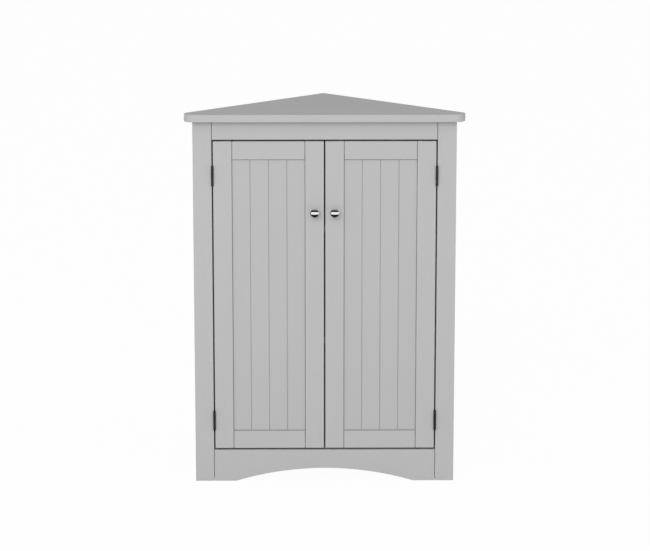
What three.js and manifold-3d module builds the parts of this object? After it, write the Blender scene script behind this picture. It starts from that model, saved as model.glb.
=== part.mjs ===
// A corner cupboard: a three-sided carcass that fills the corner of a room, a face frame with an
// arched apron across its front, and two inset beadboard doors on butt hinges.
// Millimetres. X runs to the right, Y towards the corner of the room, Z up from the floor.
import * as THREE from "three";
import { mergeVertices } from "three/addons/utils/BufferGeometryUtils.js";
import Module from "manifold-3d";

const wasm = await Module();
wasm.setup();

// The whole cupboard
const HEIGHT = 800;
const WALL_REACH = 430; // the worktop's reach along each wall, from the corner of the room
const GLUE_LINE = 0.1; // left between boards that are glued together or rest on each other
const LOOSE_FIT = 0.3; // left round metal and plastic pieces that sit in a bored hole
const EDGE_EASE = 1; // flat taken off the edges of the painted boards
const OVERRUN = 1; // how far a cutter runs past the face that it opens

// Worktop
const TOP_THICKNESS = 16;
const TOP_CORNER_RADIUS = 22;
const TOP_FRONT_OVERHANG = 19; // past the face frame
const TOP_WALL_OVERHANG = 9.6; // past the side panels
const TOP_EDGE_ROUND = 1.6;

// Face frame
const FRAME_THICKNESS = 16;
const STILE_WIDTH = 39.6;
const TOP_RAIL_HEIGHT = 39.8;
const APRON_HEIGHT = 69.8;
const APRON_FOOT_LENGTH = 47.9; // stands on the floor on each side of the arch
const ARCH_RISE = 28.4;

// Side panels, floor panel and shelves
const SIDE_THICKNESS = 15;
const FLOOR_THICKNESS = 15;
const SHELF_THICKNESS = 15;
const SHELF_NAMES = ["lower", "upper"];
const SHELF_COUNT = SHELF_NAMES.length;
const SHELF_SETBACK = 8; // behind the doors
const SHELF_PLAY = 2; // between a shelf and the side panels
const POINT_CUT = 12; // taken off each pointed front corner of the floor panel and the shelves
const SHELF_BACK_CUT = 20; // width of the flat across a shelf's back corner

// Shelf pins
const PIN_RADIUS = 2.5;
const PIN_HOLE_DEPTH = 10;
const PIN_COLLAR_RADIUS = 3.8;
const PIN_COLLAR_THICKNESS = 1.2;
const PIN_TAB_LENGTH = 11;
const PIN_TAB_WIDTH = 7;
const PIN_TAB_THICKNESS = 1.8;
const PIN_HOLE_PITCH = 32; // from one height of a shelf to the next
const PIN_SPARE_HOLES = 1; // above and below the holes in use
const PIN_PLACE_SHARES = [0.2, 0.82]; // along a side panel, from the corner to the face frame

// Cam fittings between the side panels and the worktop
const CAM_RADIUS = 7.5;
const CAM_DEPTH = 12;
const CAM_DROP = 30; // from the worktop's underside to the cam's centre
const CAM_SLOT_WIDTH = 1.4;
const CAM_SLOT_LENGTH = 9;
const CAM_SLOT_DEPTH = 1.6;
const BOLT_RADIUS = 2.8;
const BOLT_NECK_RADIUS = 1.8;
const BOLT_NECK_LENGTH = 4;
const BOLT_BALL_RADIUS = 3;
const BOLT_GRIP = 10; // how far the bolt is screwed up into the worktop
const CAM_PLACE_SHARES = [0.12, 0.9];

// Doors
const DOOR_GAP = 3;
const DOOR_THICKNESS = 16;
const DOOR_STILE_WIDTH = 39.3;
const DOOR_RAIL_HEIGHT = 38.8;
const DOOR_GROOVE_DEPTH = 9; // the groove that holds the panel and the rails' tongues
const PANEL_RECESS = 3.5;
const PANEL_THICKNESS = 5;
const PANEL_PLAY = 1.2; // between the panel's edge and the bottom of its groove
const PLANK_COUNT = 4;
const PLANK_GROOVE_WIDTH = 2;
const PLANK_GROOVE_DEPTH = 1.4;

// Butt hinges
const HINGE_LENGTH = 42;
const UPPER_HINGE_DROP = 73.6; // from the door's top to the hinge's middle
const LOWER_HINGE_RISE = 62.6; // from the door's bottom to the hinge's middle
const KNUCKLE_RADIUS = 2.75;
const KNUCKLE_COUNT = 3;
const KNUCKLE_PLAY = 0.3;
const HINGE_PIN_RADIUS = 1.1;
const PIN_HEAD_RADIUS = 2;
const PIN_HEAD_THICKNESS = 0.6;
const LEAF_DEPTH = 16.5; // from the pin's axis to the leaf's back edge
const LEAF_PLAY = 0.2; // between the two leaves of a closed hinge
const LEAF_HOLE_RADIUS = 1.5;
const LEAF_SINK_RADIUS = 2.6;
const LEAF_HOLE_SHARE = 0.3; // of the hinge's length, above and below its middle

// Knobs
const KNOB_RADIUS = 10;
const KNOB_PROJECTION = 22;
const KNOB_DROP = 150.6; // from the door's top
const KNOB_FOOT_RADIUS = 6;
const KNOB_NECK_RADIUS = 4.4;
const KNOB_NECK_START = 5.5; // from the door
const KNOB_BORE_DEPTH = 9;
const KNOB_SCREW_RADIUS = 2;
const SCREW_HEAD_RADIUS = 4;
const SCREW_HEAD_THICKNESS = 2.4;

// Magnetic catch under the worktop, behind the middle of the top rail
const CATCH_BLOCK_WIDTH = 64;
const CATCH_BLOCK_DEPTH = 28;
const CATCH_WIDTH = 58;
const CATCH_DEPTH = 24;
const CATCH_HEIGHT = 22;
const CATCH_ROUND = 2;
const MAGNET_WIDTH = 16;
const MAGNET_DEPTH = 10;
const MAGNET_HEIGHT = 7;
const MAGNET_PROUD = 0.8;
const MAGNET_RISE = 7; // from the catch's underside to the magnets' middle
const STRIKE_WIDTH = 20;
const STRIKE_HEIGHT = 14;
const STRIKE_THICKNESS = 1.2;
const STRIKE_ROUND = 3;

// Faces that go round a turned or bored shape
const SMALL_SIDES = 12;
const PLAIN_SIDES = 16;
const FINE_SIDES = 24;
const ARCH_SEGMENTS = 28;

// Places that follow from the sizes above
const EIGHTH_TURN = Math.PI / 4;
const DIAGONAL = Math.SQRT2;
const CORNER_TANGENT = TOP_CORNER_RADIUS / Math.tan(EIGHTH_TURN / 2);
const TOP_LEG = WALL_REACH + CORNER_TANGENT - TOP_CORNER_RADIUS;
const TOP_DEPTH = TOP_LEG / DIAGONAL;
const TOP_FRONT_Y = -TOP_FRONT_OVERHANG;
const TOP_BACK_Y = TOP_FRONT_Y + TOP_DEPTH;
const OUTER_CORNER_Y = TOP_BACK_Y - TOP_WALL_OVERHANG * DIAGONAL;
const INNER_CORNER_Y = OUTER_CORNER_Y - SIDE_THICKNESS * DIAGONAL;
const CARCASS_TOP = HEIGHT - TOP_THICKNESS;
const CARCASS_FRONT_Y = FRAME_THICKNESS + GLUE_LINE;
const INNER_FACE_LENGTH = (INNER_CORNER_Y - CARCASS_FRONT_Y) * DIAGONAL;
const FACE_HALF = OUTER_CORNER_Y - FRAME_THICKNESS;
const OPENING_HALF = FACE_HALF - STILE_WIDTH;
const OPENING_TOP = CARCASS_TOP - TOP_RAIL_HEIGHT;
const DOOR_BOTTOM = APRON_HEIGHT + DOOR_GAP;
const DOOR_TOP = OPENING_TOP - DOOR_GAP;
const DOOR_OUTER_X = OPENING_HALF - DOOR_GAP;
const DOOR_INNER_X = DOOR_GAP / 2;
const DOOR_BACK_Y = DOOR_THICKNESS;
const HINGE_X = OPENING_HALF - DOOR_GAP / 2;
const HINGE_Y = -KNUCKLE_RADIUS - KNUCKLE_PLAY;
const HINGE_HEIGHTS = { upper: DOOR_TOP - UPPER_HINGE_DROP, lower: DOOR_BOTTOM + LOWER_HINGE_RISE };
const KNOB_X = DOOR_INNER_X + DOOR_STILE_WIDTH / 2;
const KNOB_Z = DOOR_TOP - KNOB_DROP;
const CATCH_TOP = OPENING_TOP - GLUE_LINE;
const CATCH_FRONT_Y = DOOR_BACK_Y + GLUE_LINE + STRIKE_THICKNESS + LOOSE_FIT + MAGNET_PROUD;
const MAGNET_Z = CATCH_TOP - CATCH_HEIGHT + MAGNET_RISE;
const MAGNET_X = CATCH_WIDTH / 4;

const SIDES = [
  { name: "left", sign: -1 },
  { name: "right", sign: 1 },
];

// Materials
const painted = new THREE.MeshStandardMaterial({ color: 0xbcbdbc, roughness: 0.5, metalness: 0 });
const paintedPanel = new THREE.MeshStandardMaterial({ color: 0xb8bab9, roughness: 0.5, metalness: 0 });
const blackSteel = new THREE.MeshStandardMaterial({ color: 0x2b2b2c, roughness: 0.45, metalness: 0.9 });
const chrome = new THREE.MeshStandardMaterial({ color: 0xe8e8ea, roughness: 0.08, metalness: 1 });
const zinc = new THREE.MeshStandardMaterial({ color: 0xa9abad, roughness: 0.35, metalness: 0.9 });
const whitePlastic = new THREE.MeshStandardMaterial({ color: 0xe4e4e0, roughness: 0.55, metalness: 0 });
const magnetIron = new THREE.MeshStandardMaterial({ color: 0x55575a, roughness: 0.5, metalness: 0.8 });

// Solids that can be joined and cut
function solidOf(geometry) {
  const bare = geometry.clone();
  bare.deleteAttribute("normal");
  bare.deleteAttribute("uv");
  const merged = mergeVertices(bare);
  return new wasm.Manifold(
    new wasm.Mesh({
      numProp: 3,
      vertProperties: merged.getAttribute("position").array,
      triVerts: new Uint32Array(merged.index.array),
    }),
  );
}

function geometryOf(solid) {
  const mesh = solid.getMesh();
  const geometry = new THREE.BufferGeometry();
  geometry.setAttribute("position", new THREE.BufferAttribute(new Float32Array(mesh.vertProperties), 3));
  geometry.setIndex(new THREE.BufferAttribute(new Uint32Array(mesh.triVerts), 1));
  const faceted = geometry.toNonIndexed();
  faceted.computeVertexNormals();
  return faceted;
}

function cut(geometry, cutters) {
  return geometryOf(cutters.reduce((rest, cutter) => rest.subtract(solidOf(cutter)), solidOf(geometry)));
}

function join(...geometries) {
  return geometryOf(geometries.map(solidOf).reduce((whole, piece) => whole.add(piece)));
}

// Basic shapes, each placed by its limits
function block(x, y, z) {
  const geometry = new THREE.BoxGeometry(x[1] - x[0], y[1] - y[0], z[1] - z[0]);
  return geometry.translate((x[0] + x[1]) / 2, (y[0] + y[1]) / 2, (z[0] + z[1]) / 2);
}

function outline(points) {
  return new THREE.Shape(points.map(([x, y]) => new THREE.Vector2(x, y)));
}

function roundedRectangle(left, bottom, width, height, radius) {
  const shape = new THREE.Shape();
  shape.absarc(left + width - radius, bottom + radius, radius, -2 * EIGHTH_TURN, 0, false);
  shape.absarc(left + width - radius, bottom + height - radius, radius, 0, 2 * EIGHTH_TURN, false);
  shape.absarc(left + radius, bottom + height - radius, radius, 2 * EIGHTH_TURN, 4 * EIGHTH_TURN, false);
  shape.absarc(left + radius, bottom + radius, radius, 4 * EIGHTH_TURN, 6 * EIGHTH_TURN, false);
  return shape;
}

// A plan outline, raised from a bottom to a top, with its edges rounded or eased if asked
function raised(shape, bottom, top, { ease = 0, steps = 1, segments = 8 } = {}) {
  const geometry = new THREE.ExtrudeGeometry(shape, {
    depth: top - bottom - 2 * ease,
    curveSegments: segments,
    bevelEnabled: ease > 0,
    bevelSize: ease,
    bevelThickness: ease,
    bevelOffset: -ease,
    bevelSegments: steps,
  });
  return geometry.translate(0, 0, bottom + ease);
}

// A front outline of X and Z, given its thickness along Y from front to back
function faced(shape, front, back, ease = 0, segments = FINE_SIDES) {
  const geometry = new THREE.ExtrudeGeometry(shape, {
    depth: back - front - 2 * ease,
    curveSegments: segments,
    bevelEnabled: ease > 0,
    bevelSize: ease,
    bevelThickness: ease,
    bevelOffset: -ease,
    bevelSegments: 1,
  });
  return geometry.rotateX(2 * EIGHTH_TURN).translate(0, back - ease, 0);
}

function rectangle(left, right, bottom, top) {
  return outline([
    [left, bottom],
    [right, bottom],
    [right, top],
    [left, top],
  ]);
}

// A cylinder along Y, from one Y to another
function rod(radius, start, end, sides = PLAIN_SIDES) {
  const geometry = new THREE.CylinderGeometry(radius, radius, end - start, sides);
  return geometry.translate(0, (start + end) / 2, 0);
}

// A cylinder along Z, from one height to another
function post(radius, bottom, top, sides = PLAIN_SIDES) {
  return rod(radius, bottom, top, sides).rotateX(2 * EIGHTH_TURN);
}

// A solid of revolution about Y, from points of radius and height that start and end on the axis
function turned(points, sides = FINE_SIDES) {
  const profile = points.map(([radius, height]) => new THREE.Vector2(radius, height));
  return new THREE.LatheGeometry(profile, sides);
}

function piece(name, geometry, material, parent) {
  const mesh = new THREE.Mesh(geometry, material);
  mesh.name = name;
  parent.add(mesh);
  return mesh;
}

// A point on a side panel's inner face: its local Y points into the cupboard, its Z up
function wallPlace(sign, along, height, depth = 0) {
  const step = along / DIAGONAL;
  const sink = depth / DIAGONAL;
  return {
    position: new THREE.Vector3(sign * (step + sink), INNER_CORNER_Y - step + sink, height),
    turn: 3 * sign * EIGHTH_TURN,
  };
}

function atPlace(geometry, place) {
  return geometry.rotateZ(place.turn).translate(place.position.x, place.position.y, place.position.z);
}

function putAtPlace(mesh, place) {
  mesh.position.copy(place.position);
  mesh.rotation.z = place.turn;
}

const cupboard = new THREE.Group();
const carcass = new THREE.Group();
cupboard.add(carcass);

// Shelf heights: the shelves share out the space between the floor panel and the worktop evenly
const BAY_HEIGHT = (CARCASS_TOP - APRON_HEIGHT - SHELF_COUNT * SHELF_THICKNESS) / (SHELF_COUNT + 1);
const SHELF_BOTTOMS = Array.from(
  { length: SHELF_COUNT },
  (_, index) => APRON_HEIGHT + BAY_HEIGHT + index * (BAY_HEIGHT + SHELF_THICKNESS),
);

function pinHeight(shelfBottom) {
  return shelfBottom - GLUE_LINE - PIN_RADIUS;
}

// Worktop, with its two front corners rounded and its back corner left square for the room
function worktop() {
  const arcX = TOP_DEPTH - CORNER_TANGENT;
  const arcY = TOP_FRONT_Y + TOP_CORNER_RADIUS;
  const wallSide = TOP_CORNER_RADIUS / DIAGONAL;
  const shape = new THREE.Shape();
  shape.moveTo(0, TOP_BACK_Y);
  shape.lineTo(-arcX - wallSide, arcY + wallSide);
  shape.absarc(-arcX, arcY, TOP_CORNER_RADIUS, 3 * EIGHTH_TURN, 6 * EIGHTH_TURN, false);
  shape.absarc(arcX, arcY, TOP_CORNER_RADIUS, -2 * EIGHTH_TURN, EIGHTH_TURN, false);
  const boltHoles = SIDES.flatMap(({ sign }) =>
    CAM_PLACE_SHARES.map((share) => {
      const place = wallPlace(sign, share * INNER_FACE_LENGTH, CARCASS_TOP, SIDE_THICKNESS / 2);
      return atPlace(post(BOLT_RADIUS + LOOSE_FIT, -OVERRUN, BOLT_GRIP + LOOSE_FIT), place);
    }),
  );
  const board = raised(shape, CARCASS_TOP, HEIGHT, { ease: TOP_EDGE_ROUND, steps: 3 });
  piece("worktop", cut(board, boltHoles), painted, carcass);
}

// Side panels: the left one runs through to the back corner, and the right one butts against it
function sidePanelOutline(sign) {
  const frontOuter = [sign * (OUTER_CORNER_Y - CARCASS_FRONT_Y), CARCASS_FRONT_Y];
  const frontInner = [sign * (INNER_CORNER_Y - CARCASS_FRONT_Y), CARCASS_FRONT_Y];
  const halfLap = (SIDE_THICKNESS * DIAGONAL) / 2;
  if (sign < 0) {
    const lapEnd = [halfLap, OUTER_CORNER_Y - halfLap];
    return outline([frontOuter, frontInner, [0, INNER_CORNER_Y], lapEnd, [0, OUTER_CORNER_Y]]);
  }
  const shy = GLUE_LINE / DIAGONAL;
  const buttInner = [shy, INNER_CORNER_Y - shy];
  const buttOuter = [halfLap + shy, OUTER_CORNER_Y - halfLap - shy];
  return outline([frontInner, frontOuter, buttOuter, buttInner]);
}

function pinHoles(sign) {
  const steps = Array.from({ length: 2 * PIN_SPARE_HOLES + 1 }, (_, index) => index - PIN_SPARE_HOLES);
  return SHELF_BOTTOMS.flatMap((bottom) =>
    PIN_PLACE_SHARES.flatMap((share) =>
      steps.map((step) => {
        const height = pinHeight(bottom) + step * PIN_HOLE_PITCH;
        const hole = rod(PIN_RADIUS + LOOSE_FIT, -PIN_HOLE_DEPTH, OVERRUN, SMALL_SIDES);
        return atPlace(hole, wallPlace(sign, share * INNER_FACE_LENGTH, height));
      }),
    ),
  );
}

function camPockets(sign) {
  return CAM_PLACE_SHARES.flatMap((share) => {
    const along = share * INNER_FACE_LENGTH;
    const camPlace = wallPlace(sign, along, CARCASS_TOP - CAM_DROP);
    const boltPlace = wallPlace(sign, along, CARCASS_TOP - CAM_DROP, SIDE_THICKNESS / 2);
    return [
      atPlace(rod(CAM_RADIUS + LOOSE_FIT, -CAM_DEPTH - LOOSE_FIT, OVERRUN, FINE_SIDES), camPlace),
      atPlace(post(BOLT_RADIUS + LOOSE_FIT, 0, CAM_DROP + OVERRUN), boltPlace),
    ];
  });
}

function sidePanel({ name, sign }) {
  const board = raised(sidePanelOutline(sign), 0, CARCASS_TOP - GLUE_LINE);
  const bored = cut(board, [...pinHoles(sign), ...camPockets(sign)]);
  piece(`${name}_side_panel`, bored, painted, carcass);
}

// A board that fills the corner between the side panels: the floor panel or a shelf
function cornerBoard(name, { front, wallGap, backCut, bottom, thickness }) {
  const backY = INNER_CORNER_Y - wallGap * DIAGONAL;
  const halfFront = backY - front - POINT_CUT;
  const halfBack = backCut / 2;
  const shape = outline([
    [-halfFront, front],
    [halfFront, front],
    [halfFront, front + POINT_CUT],
    ...(halfBack > 0 ? [[halfBack, backY - halfBack], [-halfBack, backY - halfBack]] : [[0, backY]]),
    [-halfFront, front + POINT_CUT],
  ]);
  return piece(name, raised(shape, bottom, bottom + thickness), painted, carcass);
}

function floorPanel() {
  cornerBoard("floor_panel", {
    front: CARCASS_FRONT_Y,
    wallGap: GLUE_LINE,
    backCut: 0,
    bottom: APRON_HEIGHT - FLOOR_THICKNESS,
    thickness: FLOOR_THICKNESS,
  });
}

function shelf(name, bottom) {
  cornerBoard(`${name}_shelf`, {
    front: DOOR_BACK_Y + SHELF_SETBACK,
    wallGap: SHELF_PLAY,
    backCut: SHELF_BACK_CUT,
    bottom,
    thickness: SHELF_THICKNESS,
  });
  for (const { name: side, sign } of SIDES) {
    PIN_PLACE_SHARES.forEach((share, index) => {
      const where = index === 0 ? "back" : "front";
      const pin = piece(`${name}_shelf_pin_${side}_${where}`, shelfPin(), zinc, carcass);
      putAtPlace(pin, wallPlace(sign, share * INNER_FACE_LENGTH, pinHeight(bottom)));
    });
  }
}

// A shelf pin: a shank for the hole, a collar against the panel and a flat tab under the shelf
function shelfPin() {
  const tabEnd = LOOSE_FIT + PIN_TAB_LENGTH;
  const collarEnd = LOOSE_FIT + PIN_COLLAR_THICKNESS;
  return join(
    rod(PIN_RADIUS, LOOSE_FIT - PIN_HOLE_DEPTH, collarEnd, SMALL_SIDES),
    rod(PIN_COLLAR_RADIUS, LOOSE_FIT, collarEnd),
    block(
      [-PIN_TAB_WIDTH / 2, PIN_TAB_WIDTH / 2],
      [collarEnd - PIN_COLLAR_THICKNESS / 2, tabEnd],
      [PIN_RADIUS - PIN_TAB_THICKNESS, PIN_RADIUS],
    ),
  );
}

// A cam, its face just under the panel's, with a screwdriver cross and a hole for the bolt's head
function cam() {
  const face = -LOOSE_FIT;
  const cross = [
    [CAM_SLOT_LENGTH, CAM_SLOT_WIDTH],
    [CAM_SLOT_WIDTH, CAM_SLOT_LENGTH],
  ].map(([width, height]) =>
    block([-width / 2, width / 2], [face - CAM_SLOT_DEPTH, face + OVERRUN], [-height / 2, height / 2]),
  );
  const headHole = post(
    BOLT_BALL_RADIUS + LOOSE_FIT,
    -BOLT_BALL_RADIUS - LOOSE_FIT,
    CAM_RADIUS + OVERRUN,
  ).translate(0, -SIDE_THICKNESS / 2, 0);
  return cut(rod(CAM_RADIUS, -CAM_DEPTH, face, FINE_SIDES), [...cross, headHole]);
}

// A cam bolt: a ball head in the cam, a thin neck, and a shank that is screwed into the worktop
function camBolt() {
  const neckTop = BOLT_BALL_RADIUS / 2 + BOLT_NECK_LENGTH;
  const ballSteps = 4;
  const ballArc = 3 * EIGHTH_TURN;
  const ball = Array.from({ length: ballSteps + 1 }, (_, index) => {
    const angle = (index / ballSteps) * ballArc;
    return [BOLT_BALL_RADIUS * Math.sin(angle), -BOLT_BALL_RADIUS * Math.cos(angle)];
  });
  const shank = [
    [BOLT_NECK_RADIUS, BOLT_BALL_RADIUS],
    [BOLT_NECK_RADIUS, neckTop],
    [BOLT_RADIUS, neckTop + BOLT_RADIUS - BOLT_NECK_RADIUS],
    [BOLT_RADIUS, CAM_DROP + BOLT_GRIP - BOLT_RADIUS / 2],
    [BOLT_RADIUS / 2, CAM_DROP + BOLT_GRIP],
    [0, CAM_DROP + BOLT_GRIP],
  ];
  return turned([...ball, ...shank], SMALL_SIDES).rotateX(2 * EIGHTH_TURN);
}

function camFittings({ name, sign }) {
  CAM_PLACE_SHARES.forEach((share, index) => {
    const where = index === 0 ? "back" : "front";
    const along = share * INNER_FACE_LENGTH;
    const height = CARCASS_TOP - CAM_DROP;
    putAtPlace(piece(`${name}_${where}_cam`, cam(), zinc, carcass), wallPlace(sign, along, height));
    putAtPlace(
      piece(`${name}_${where}_cam_bolt`, camBolt(), zinc, carcass),
      wallPlace(sign, along, height, SIDE_THICKNESS / 2),
    );
  });
}

// Face frame: two stiles from the floor to the worktop, a top rail and an arched apron between them
function frameStile({ name, sign }) {
  const [left, right] = [sign * FACE_HALF, sign * OPENING_HALF].sort((a, b) => a - b);
  const shape = rectangle(left, right, 0, CARCASS_TOP - GLUE_LINE);
  piece(`${name}_stile`, faced(shape, 0, FRAME_THICKNESS, EDGE_EASE), painted, carcass);
}

function topRail() {
  const half = OPENING_HALF - GLUE_LINE;
  const shape = rectangle(-half, half, OPENING_TOP, CARCASS_TOP - GLUE_LINE);
  piece("top_rail", faced(shape, 0, FRAME_THICKNESS, EDGE_EASE), painted, carcass);
}

function archedApron() {
  const half = OPENING_HALF - GLUE_LINE;
  const archHalf = OPENING_HALF - APRON_FOOT_LENGTH;
  const archRadius = (archHalf ** 2 + ARCH_RISE ** 2) / (2 * ARCH_RISE);
  const archCentre = ARCH_RISE - archRadius;
  const springAngle = Math.asin(-archCentre / archRadius);
  const shape = new THREE.Shape();
  shape.moveTo(half, 0);
  shape.lineTo(half, APRON_HEIGHT);
  shape.lineTo(-half, APRON_HEIGHT);
  shape.lineTo(-half, 0);
  shape.absarc(0, archCentre, archRadius, Math.PI - springAngle, springAngle, true);
  piece("arched_apron", faced(shape, 0, FRAME_THICKNESS, EDGE_EASE, ARCH_SEGMENTS), painted, carcass);
}

// Magnetic catch: a wooden block in the angle of the top rail and worktop, and a twin catch under it
function catchBlock() {
  const half = CATCH_BLOCK_WIDTH / 2;
  const shape = rectangle(-half, half, OPENING_TOP, CARCASS_TOP - GLUE_LINE);
  const back = CARCASS_FRONT_Y + CATCH_BLOCK_DEPTH;
  piece("catch_block", faced(shape, CARCASS_FRONT_Y, back, EDGE_EASE), painted, carcass);
}

function twinCatch() {
  const plan = roundedRectangle(-CATCH_WIDTH / 2, CATCH_FRONT_Y, CATCH_WIDTH, CATCH_DEPTH, CATCH_ROUND);
  const housing = raised(plan, CATCH_TOP - CATCH_HEIGHT, CATCH_TOP, { segments: 2 });
  const halfWidth = MAGNET_WIDTH / 2 + LOOSE_FIT;
  const halfHeight = MAGNET_HEIGHT / 2 + LOOSE_FIT;
  const pockets = SIDES.map(({ sign }) =>
    block(
      [sign * MAGNET_X - halfWidth, sign * MAGNET_X + halfWidth],
      [CATCH_FRONT_Y - OVERRUN, CATCH_FRONT_Y + MAGNET_DEPTH],
      [MAGNET_Z - halfHeight, MAGNET_Z + halfHeight],
    ),
  );
  piece("twin_catch", cut(housing, pockets), whitePlastic, carcass);
  for (const { name, sign } of SIDES) {
    const magnet = block(
      [-MAGNET_WIDTH / 2, MAGNET_WIDTH / 2],
      [-MAGNET_PROUD, MAGNET_DEPTH - LOOSE_FIT],
      [-MAGNET_HEIGHT / 2, MAGNET_HEIGHT / 2],
    );
    piece(`${name}_catch_magnet`, magnet, magnetIron, carcass)
      .position.set(sign * MAGNET_X, CATCH_FRONT_Y, MAGNET_Z);
  }
}

// Butt hinges. A leaf's own frame starts on the pin: X towards the wood, Y back into the gap
const KNUCKLE_LENGTH = (HINGE_LENGTH - (KNUCKLE_COUNT - 1) * KNUCKLE_PLAY) / KNUCKLE_COUNT;

function knuckleSpan(index) {
  const bottom = -HINGE_LENGTH / 2 + index * (KNUCKLE_LENGTH + KNUCKLE_PLAY);
  return [bottom, bottom + KNUCKLE_LENGTH];
}

// Every second knuckle, counted from the bottom
function knucklesFrom(first) {
  const indexes = Array.from({ length: KNUCKLE_COUNT }, (_, index) => index);
  return indexes.filter((index) => index % 2 === first % 2);
}

function hingeLeaf(knuckleIndexes) {
  const innerX = LEAF_PLAY / 2;
  const outerX = DOOR_GAP / 2 - GLUE_LINE;
  const boreRadius = HINGE_PIN_RADIUS + KNUCKLE_PLAY;
  const plateFront = KNUCKLE_RADIUS + KNUCKLE_PLAY;
  const rootFront = (boreRadius + KNUCKLE_RADIUS) / 2;
  const plate = block([innerX, outerX], [plateFront, LEAF_DEPTH], [-HINGE_LENGTH / 2, HINGE_LENGTH / 2]);
  const roots = knuckleIndexes.map((index) =>
    block([innerX, outerX], [rootFront, LEAF_DEPTH / 2], knuckleSpan(index)),
  );
  const barrels = knuckleIndexes.map((index) => {
    const [bottom, top] = knuckleSpan(index);
    const ring = new THREE.Shape().absarc(0, 0, KNUCKLE_RADIUS, 0, 2 * Math.PI, false);
    ring.holes.push(new THREE.Path().absarc(0, 0, boreRadius, 0, 2 * Math.PI, true));
    return raised(ring, bottom, top, { segments: 6 });
  });
  const sinkDepth = outerX - innerX + 2 * GLUE_LINE;
  const holeY = (plateFront + LEAF_DEPTH) / 2;
  const sinks = SIDES.map(({ sign }) => {
    const sink = new THREE.CylinderGeometry(LEAF_SINK_RADIUS, LEAF_HOLE_RADIUS, sinkDepth, SMALL_SIDES);
    const height = sign * LEAF_HOLE_SHARE * HINGE_LENGTH;
    return sink.rotateZ(2 * EIGHTH_TURN).translate((innerX + outerX) / 2, holeY, height);
  });
  return cut(join(plate, ...roots, ...barrels), sinks);
}

function hingePin() {
  const half = HINGE_LENGTH / 2 + KNUCKLE_PLAY;
  const profile = [
    [0, -half - PIN_HEAD_THICKNESS],
    [PIN_HEAD_RADIUS, -half - PIN_HEAD_THICKNESS],
    [PIN_HEAD_RADIUS, -half],
    [HINGE_PIN_RADIUS, -half],
    [HINGE_PIN_RADIUS, half],
    [PIN_HEAD_RADIUS, half],
    [PIN_HEAD_RADIUS, half + PIN_HEAD_THICKNESS],
    [0, half + PIN_HEAD_THICKNESS],
  ];
  return turned(profile, SMALL_SIDES).rotateX(2 * EIGHTH_TURN);
}

function frameHinge({ name, sign }, where) {
  const leaf = piece(`${name}_${where}_frame_leaf`, hingeLeaf(knucklesFrom(0)), blackSteel, carcass);
  leaf.position.set(sign * HINGE_X, HINGE_Y, HINGE_HEIGHTS[where]);
  leaf.rotation.y = sign > 0 ? 0 : Math.PI;
  const pin = piece(`${name}_${where}_hinge_pin`, hingePin(), blackSteel, carcass);
  pin.position.set(sign * HINGE_X, HINGE_Y, HINGE_HEIGHTS[where]);
}

function doorHinge({ name, sign }, where, door) {
  const leaf = piece(`${name}_${where}_door_leaf`, hingeLeaf(knucklesFrom(1)), blackSteel, door);
  leaf.position.set(0, 0, HINGE_HEIGHTS[where]);
  leaf.rotation.y = sign > 0 ? Math.PI : 0;
}

// Doors. Each door's group stands on its hinge axis, so its pieces are placed from there
const GROOVE_FRONT = PANEL_RECESS - GLUE_LINE;
const GROOVE_BACK = PANEL_RECESS + PANEL_THICKNESS + GLUE_LINE;

function doorStile(name, near, far, panelSide, holes, door) {
  const left = Math.min(near, far);
  const right = Math.max(near, far);
  const board = faced(rectangle(left, right, DOOR_BOTTOM, DOOR_TOP), 0, DOOR_THICKNESS, EDGE_EASE);
  const mouth = panelSide > 0 ? right : left;
  const grooveX = [mouth - panelSide * DOOR_GROOVE_DEPTH, mouth + panelSide * OVERRUN];
  const grooveZ = [DOOR_BOTTOM - OVERRUN, DOOR_TOP + OVERRUN];
  const groove = block(grooveX.sort((a, b) => a - b), [GROOVE_FRONT, GROOVE_BACK], grooveZ);
  return piece(name, cut(board, [groove, ...holes]), painted, door);
}

function doorRail(name, left, right, outerZ, upward, door) {
  const innerZ = outerZ + upward * DOOR_RAIL_HEIGHT;
  const [bottom, top] = [outerZ, innerZ].sort((a, b) => a - b);
  const shoulders = [left + GLUE_LINE, right - GLUE_LINE];
  const board = faced(rectangle(...shoulders, bottom, top), 0, DOOR_THICKNESS, EDGE_EASE);
  const grooveFloor = innerZ - upward * DOOR_GROOVE_DEPTH;
  const tongueReach = DOOR_GROOVE_DEPTH - GLUE_LINE;
  const tongue = block(
    [left - tongueReach, right + tongueReach],
    [GROOVE_FRONT + GLUE_LINE, GROOVE_BACK - GLUE_LINE],
    [outerZ, grooveFloor].sort((a, b) => a - b),
  );
  const groove = block(
    [left - DOOR_GROOVE_DEPTH, right + DOOR_GROOVE_DEPTH],
    [GROOVE_FRONT, GROOVE_BACK],
    [grooveFloor, innerZ + upward * OVERRUN].sort((a, b) => a - b),
  );
  return piece(name, cut(join(board, tongue), [groove]), painted, door);
}

// The panel is one sheet with a V groove between each plank and the next
function beadboardPanel(name, left, right, door) {
  const reach = DOOR_GROOVE_DEPTH - PANEL_PLAY;
  const plankWidth = (right - left) / PLANK_COUNT;
  const front = PANEL_RECESS;
  const back = PANEL_RECESS + PANEL_THICKNESS;
  const grooves = Array.from({ length: PLANK_COUNT - 1 }, (_, index) => {
    const middle = left + (index + 1) * plankWidth;
    return [
      [middle - PLANK_GROOVE_WIDTH / 2, front],
      [middle, front + PLANK_GROOVE_DEPTH],
      [middle + PLANK_GROOVE_WIDTH / 2, front],
    ];
  }).flat();
  const shape = outline([
    [left - reach, front],
    ...grooves,
    [right + reach, front],
    [right + reach, back],
    [left - reach, back],
  ]);
  const bottom = DOOR_BOTTOM + DOOR_RAIL_HEIGHT - reach;
  const top = DOOR_TOP - DOOR_RAIL_HEIGHT + reach;
  return piece(name, raised(shape, bottom, top), paintedPanel, door);
}

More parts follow.
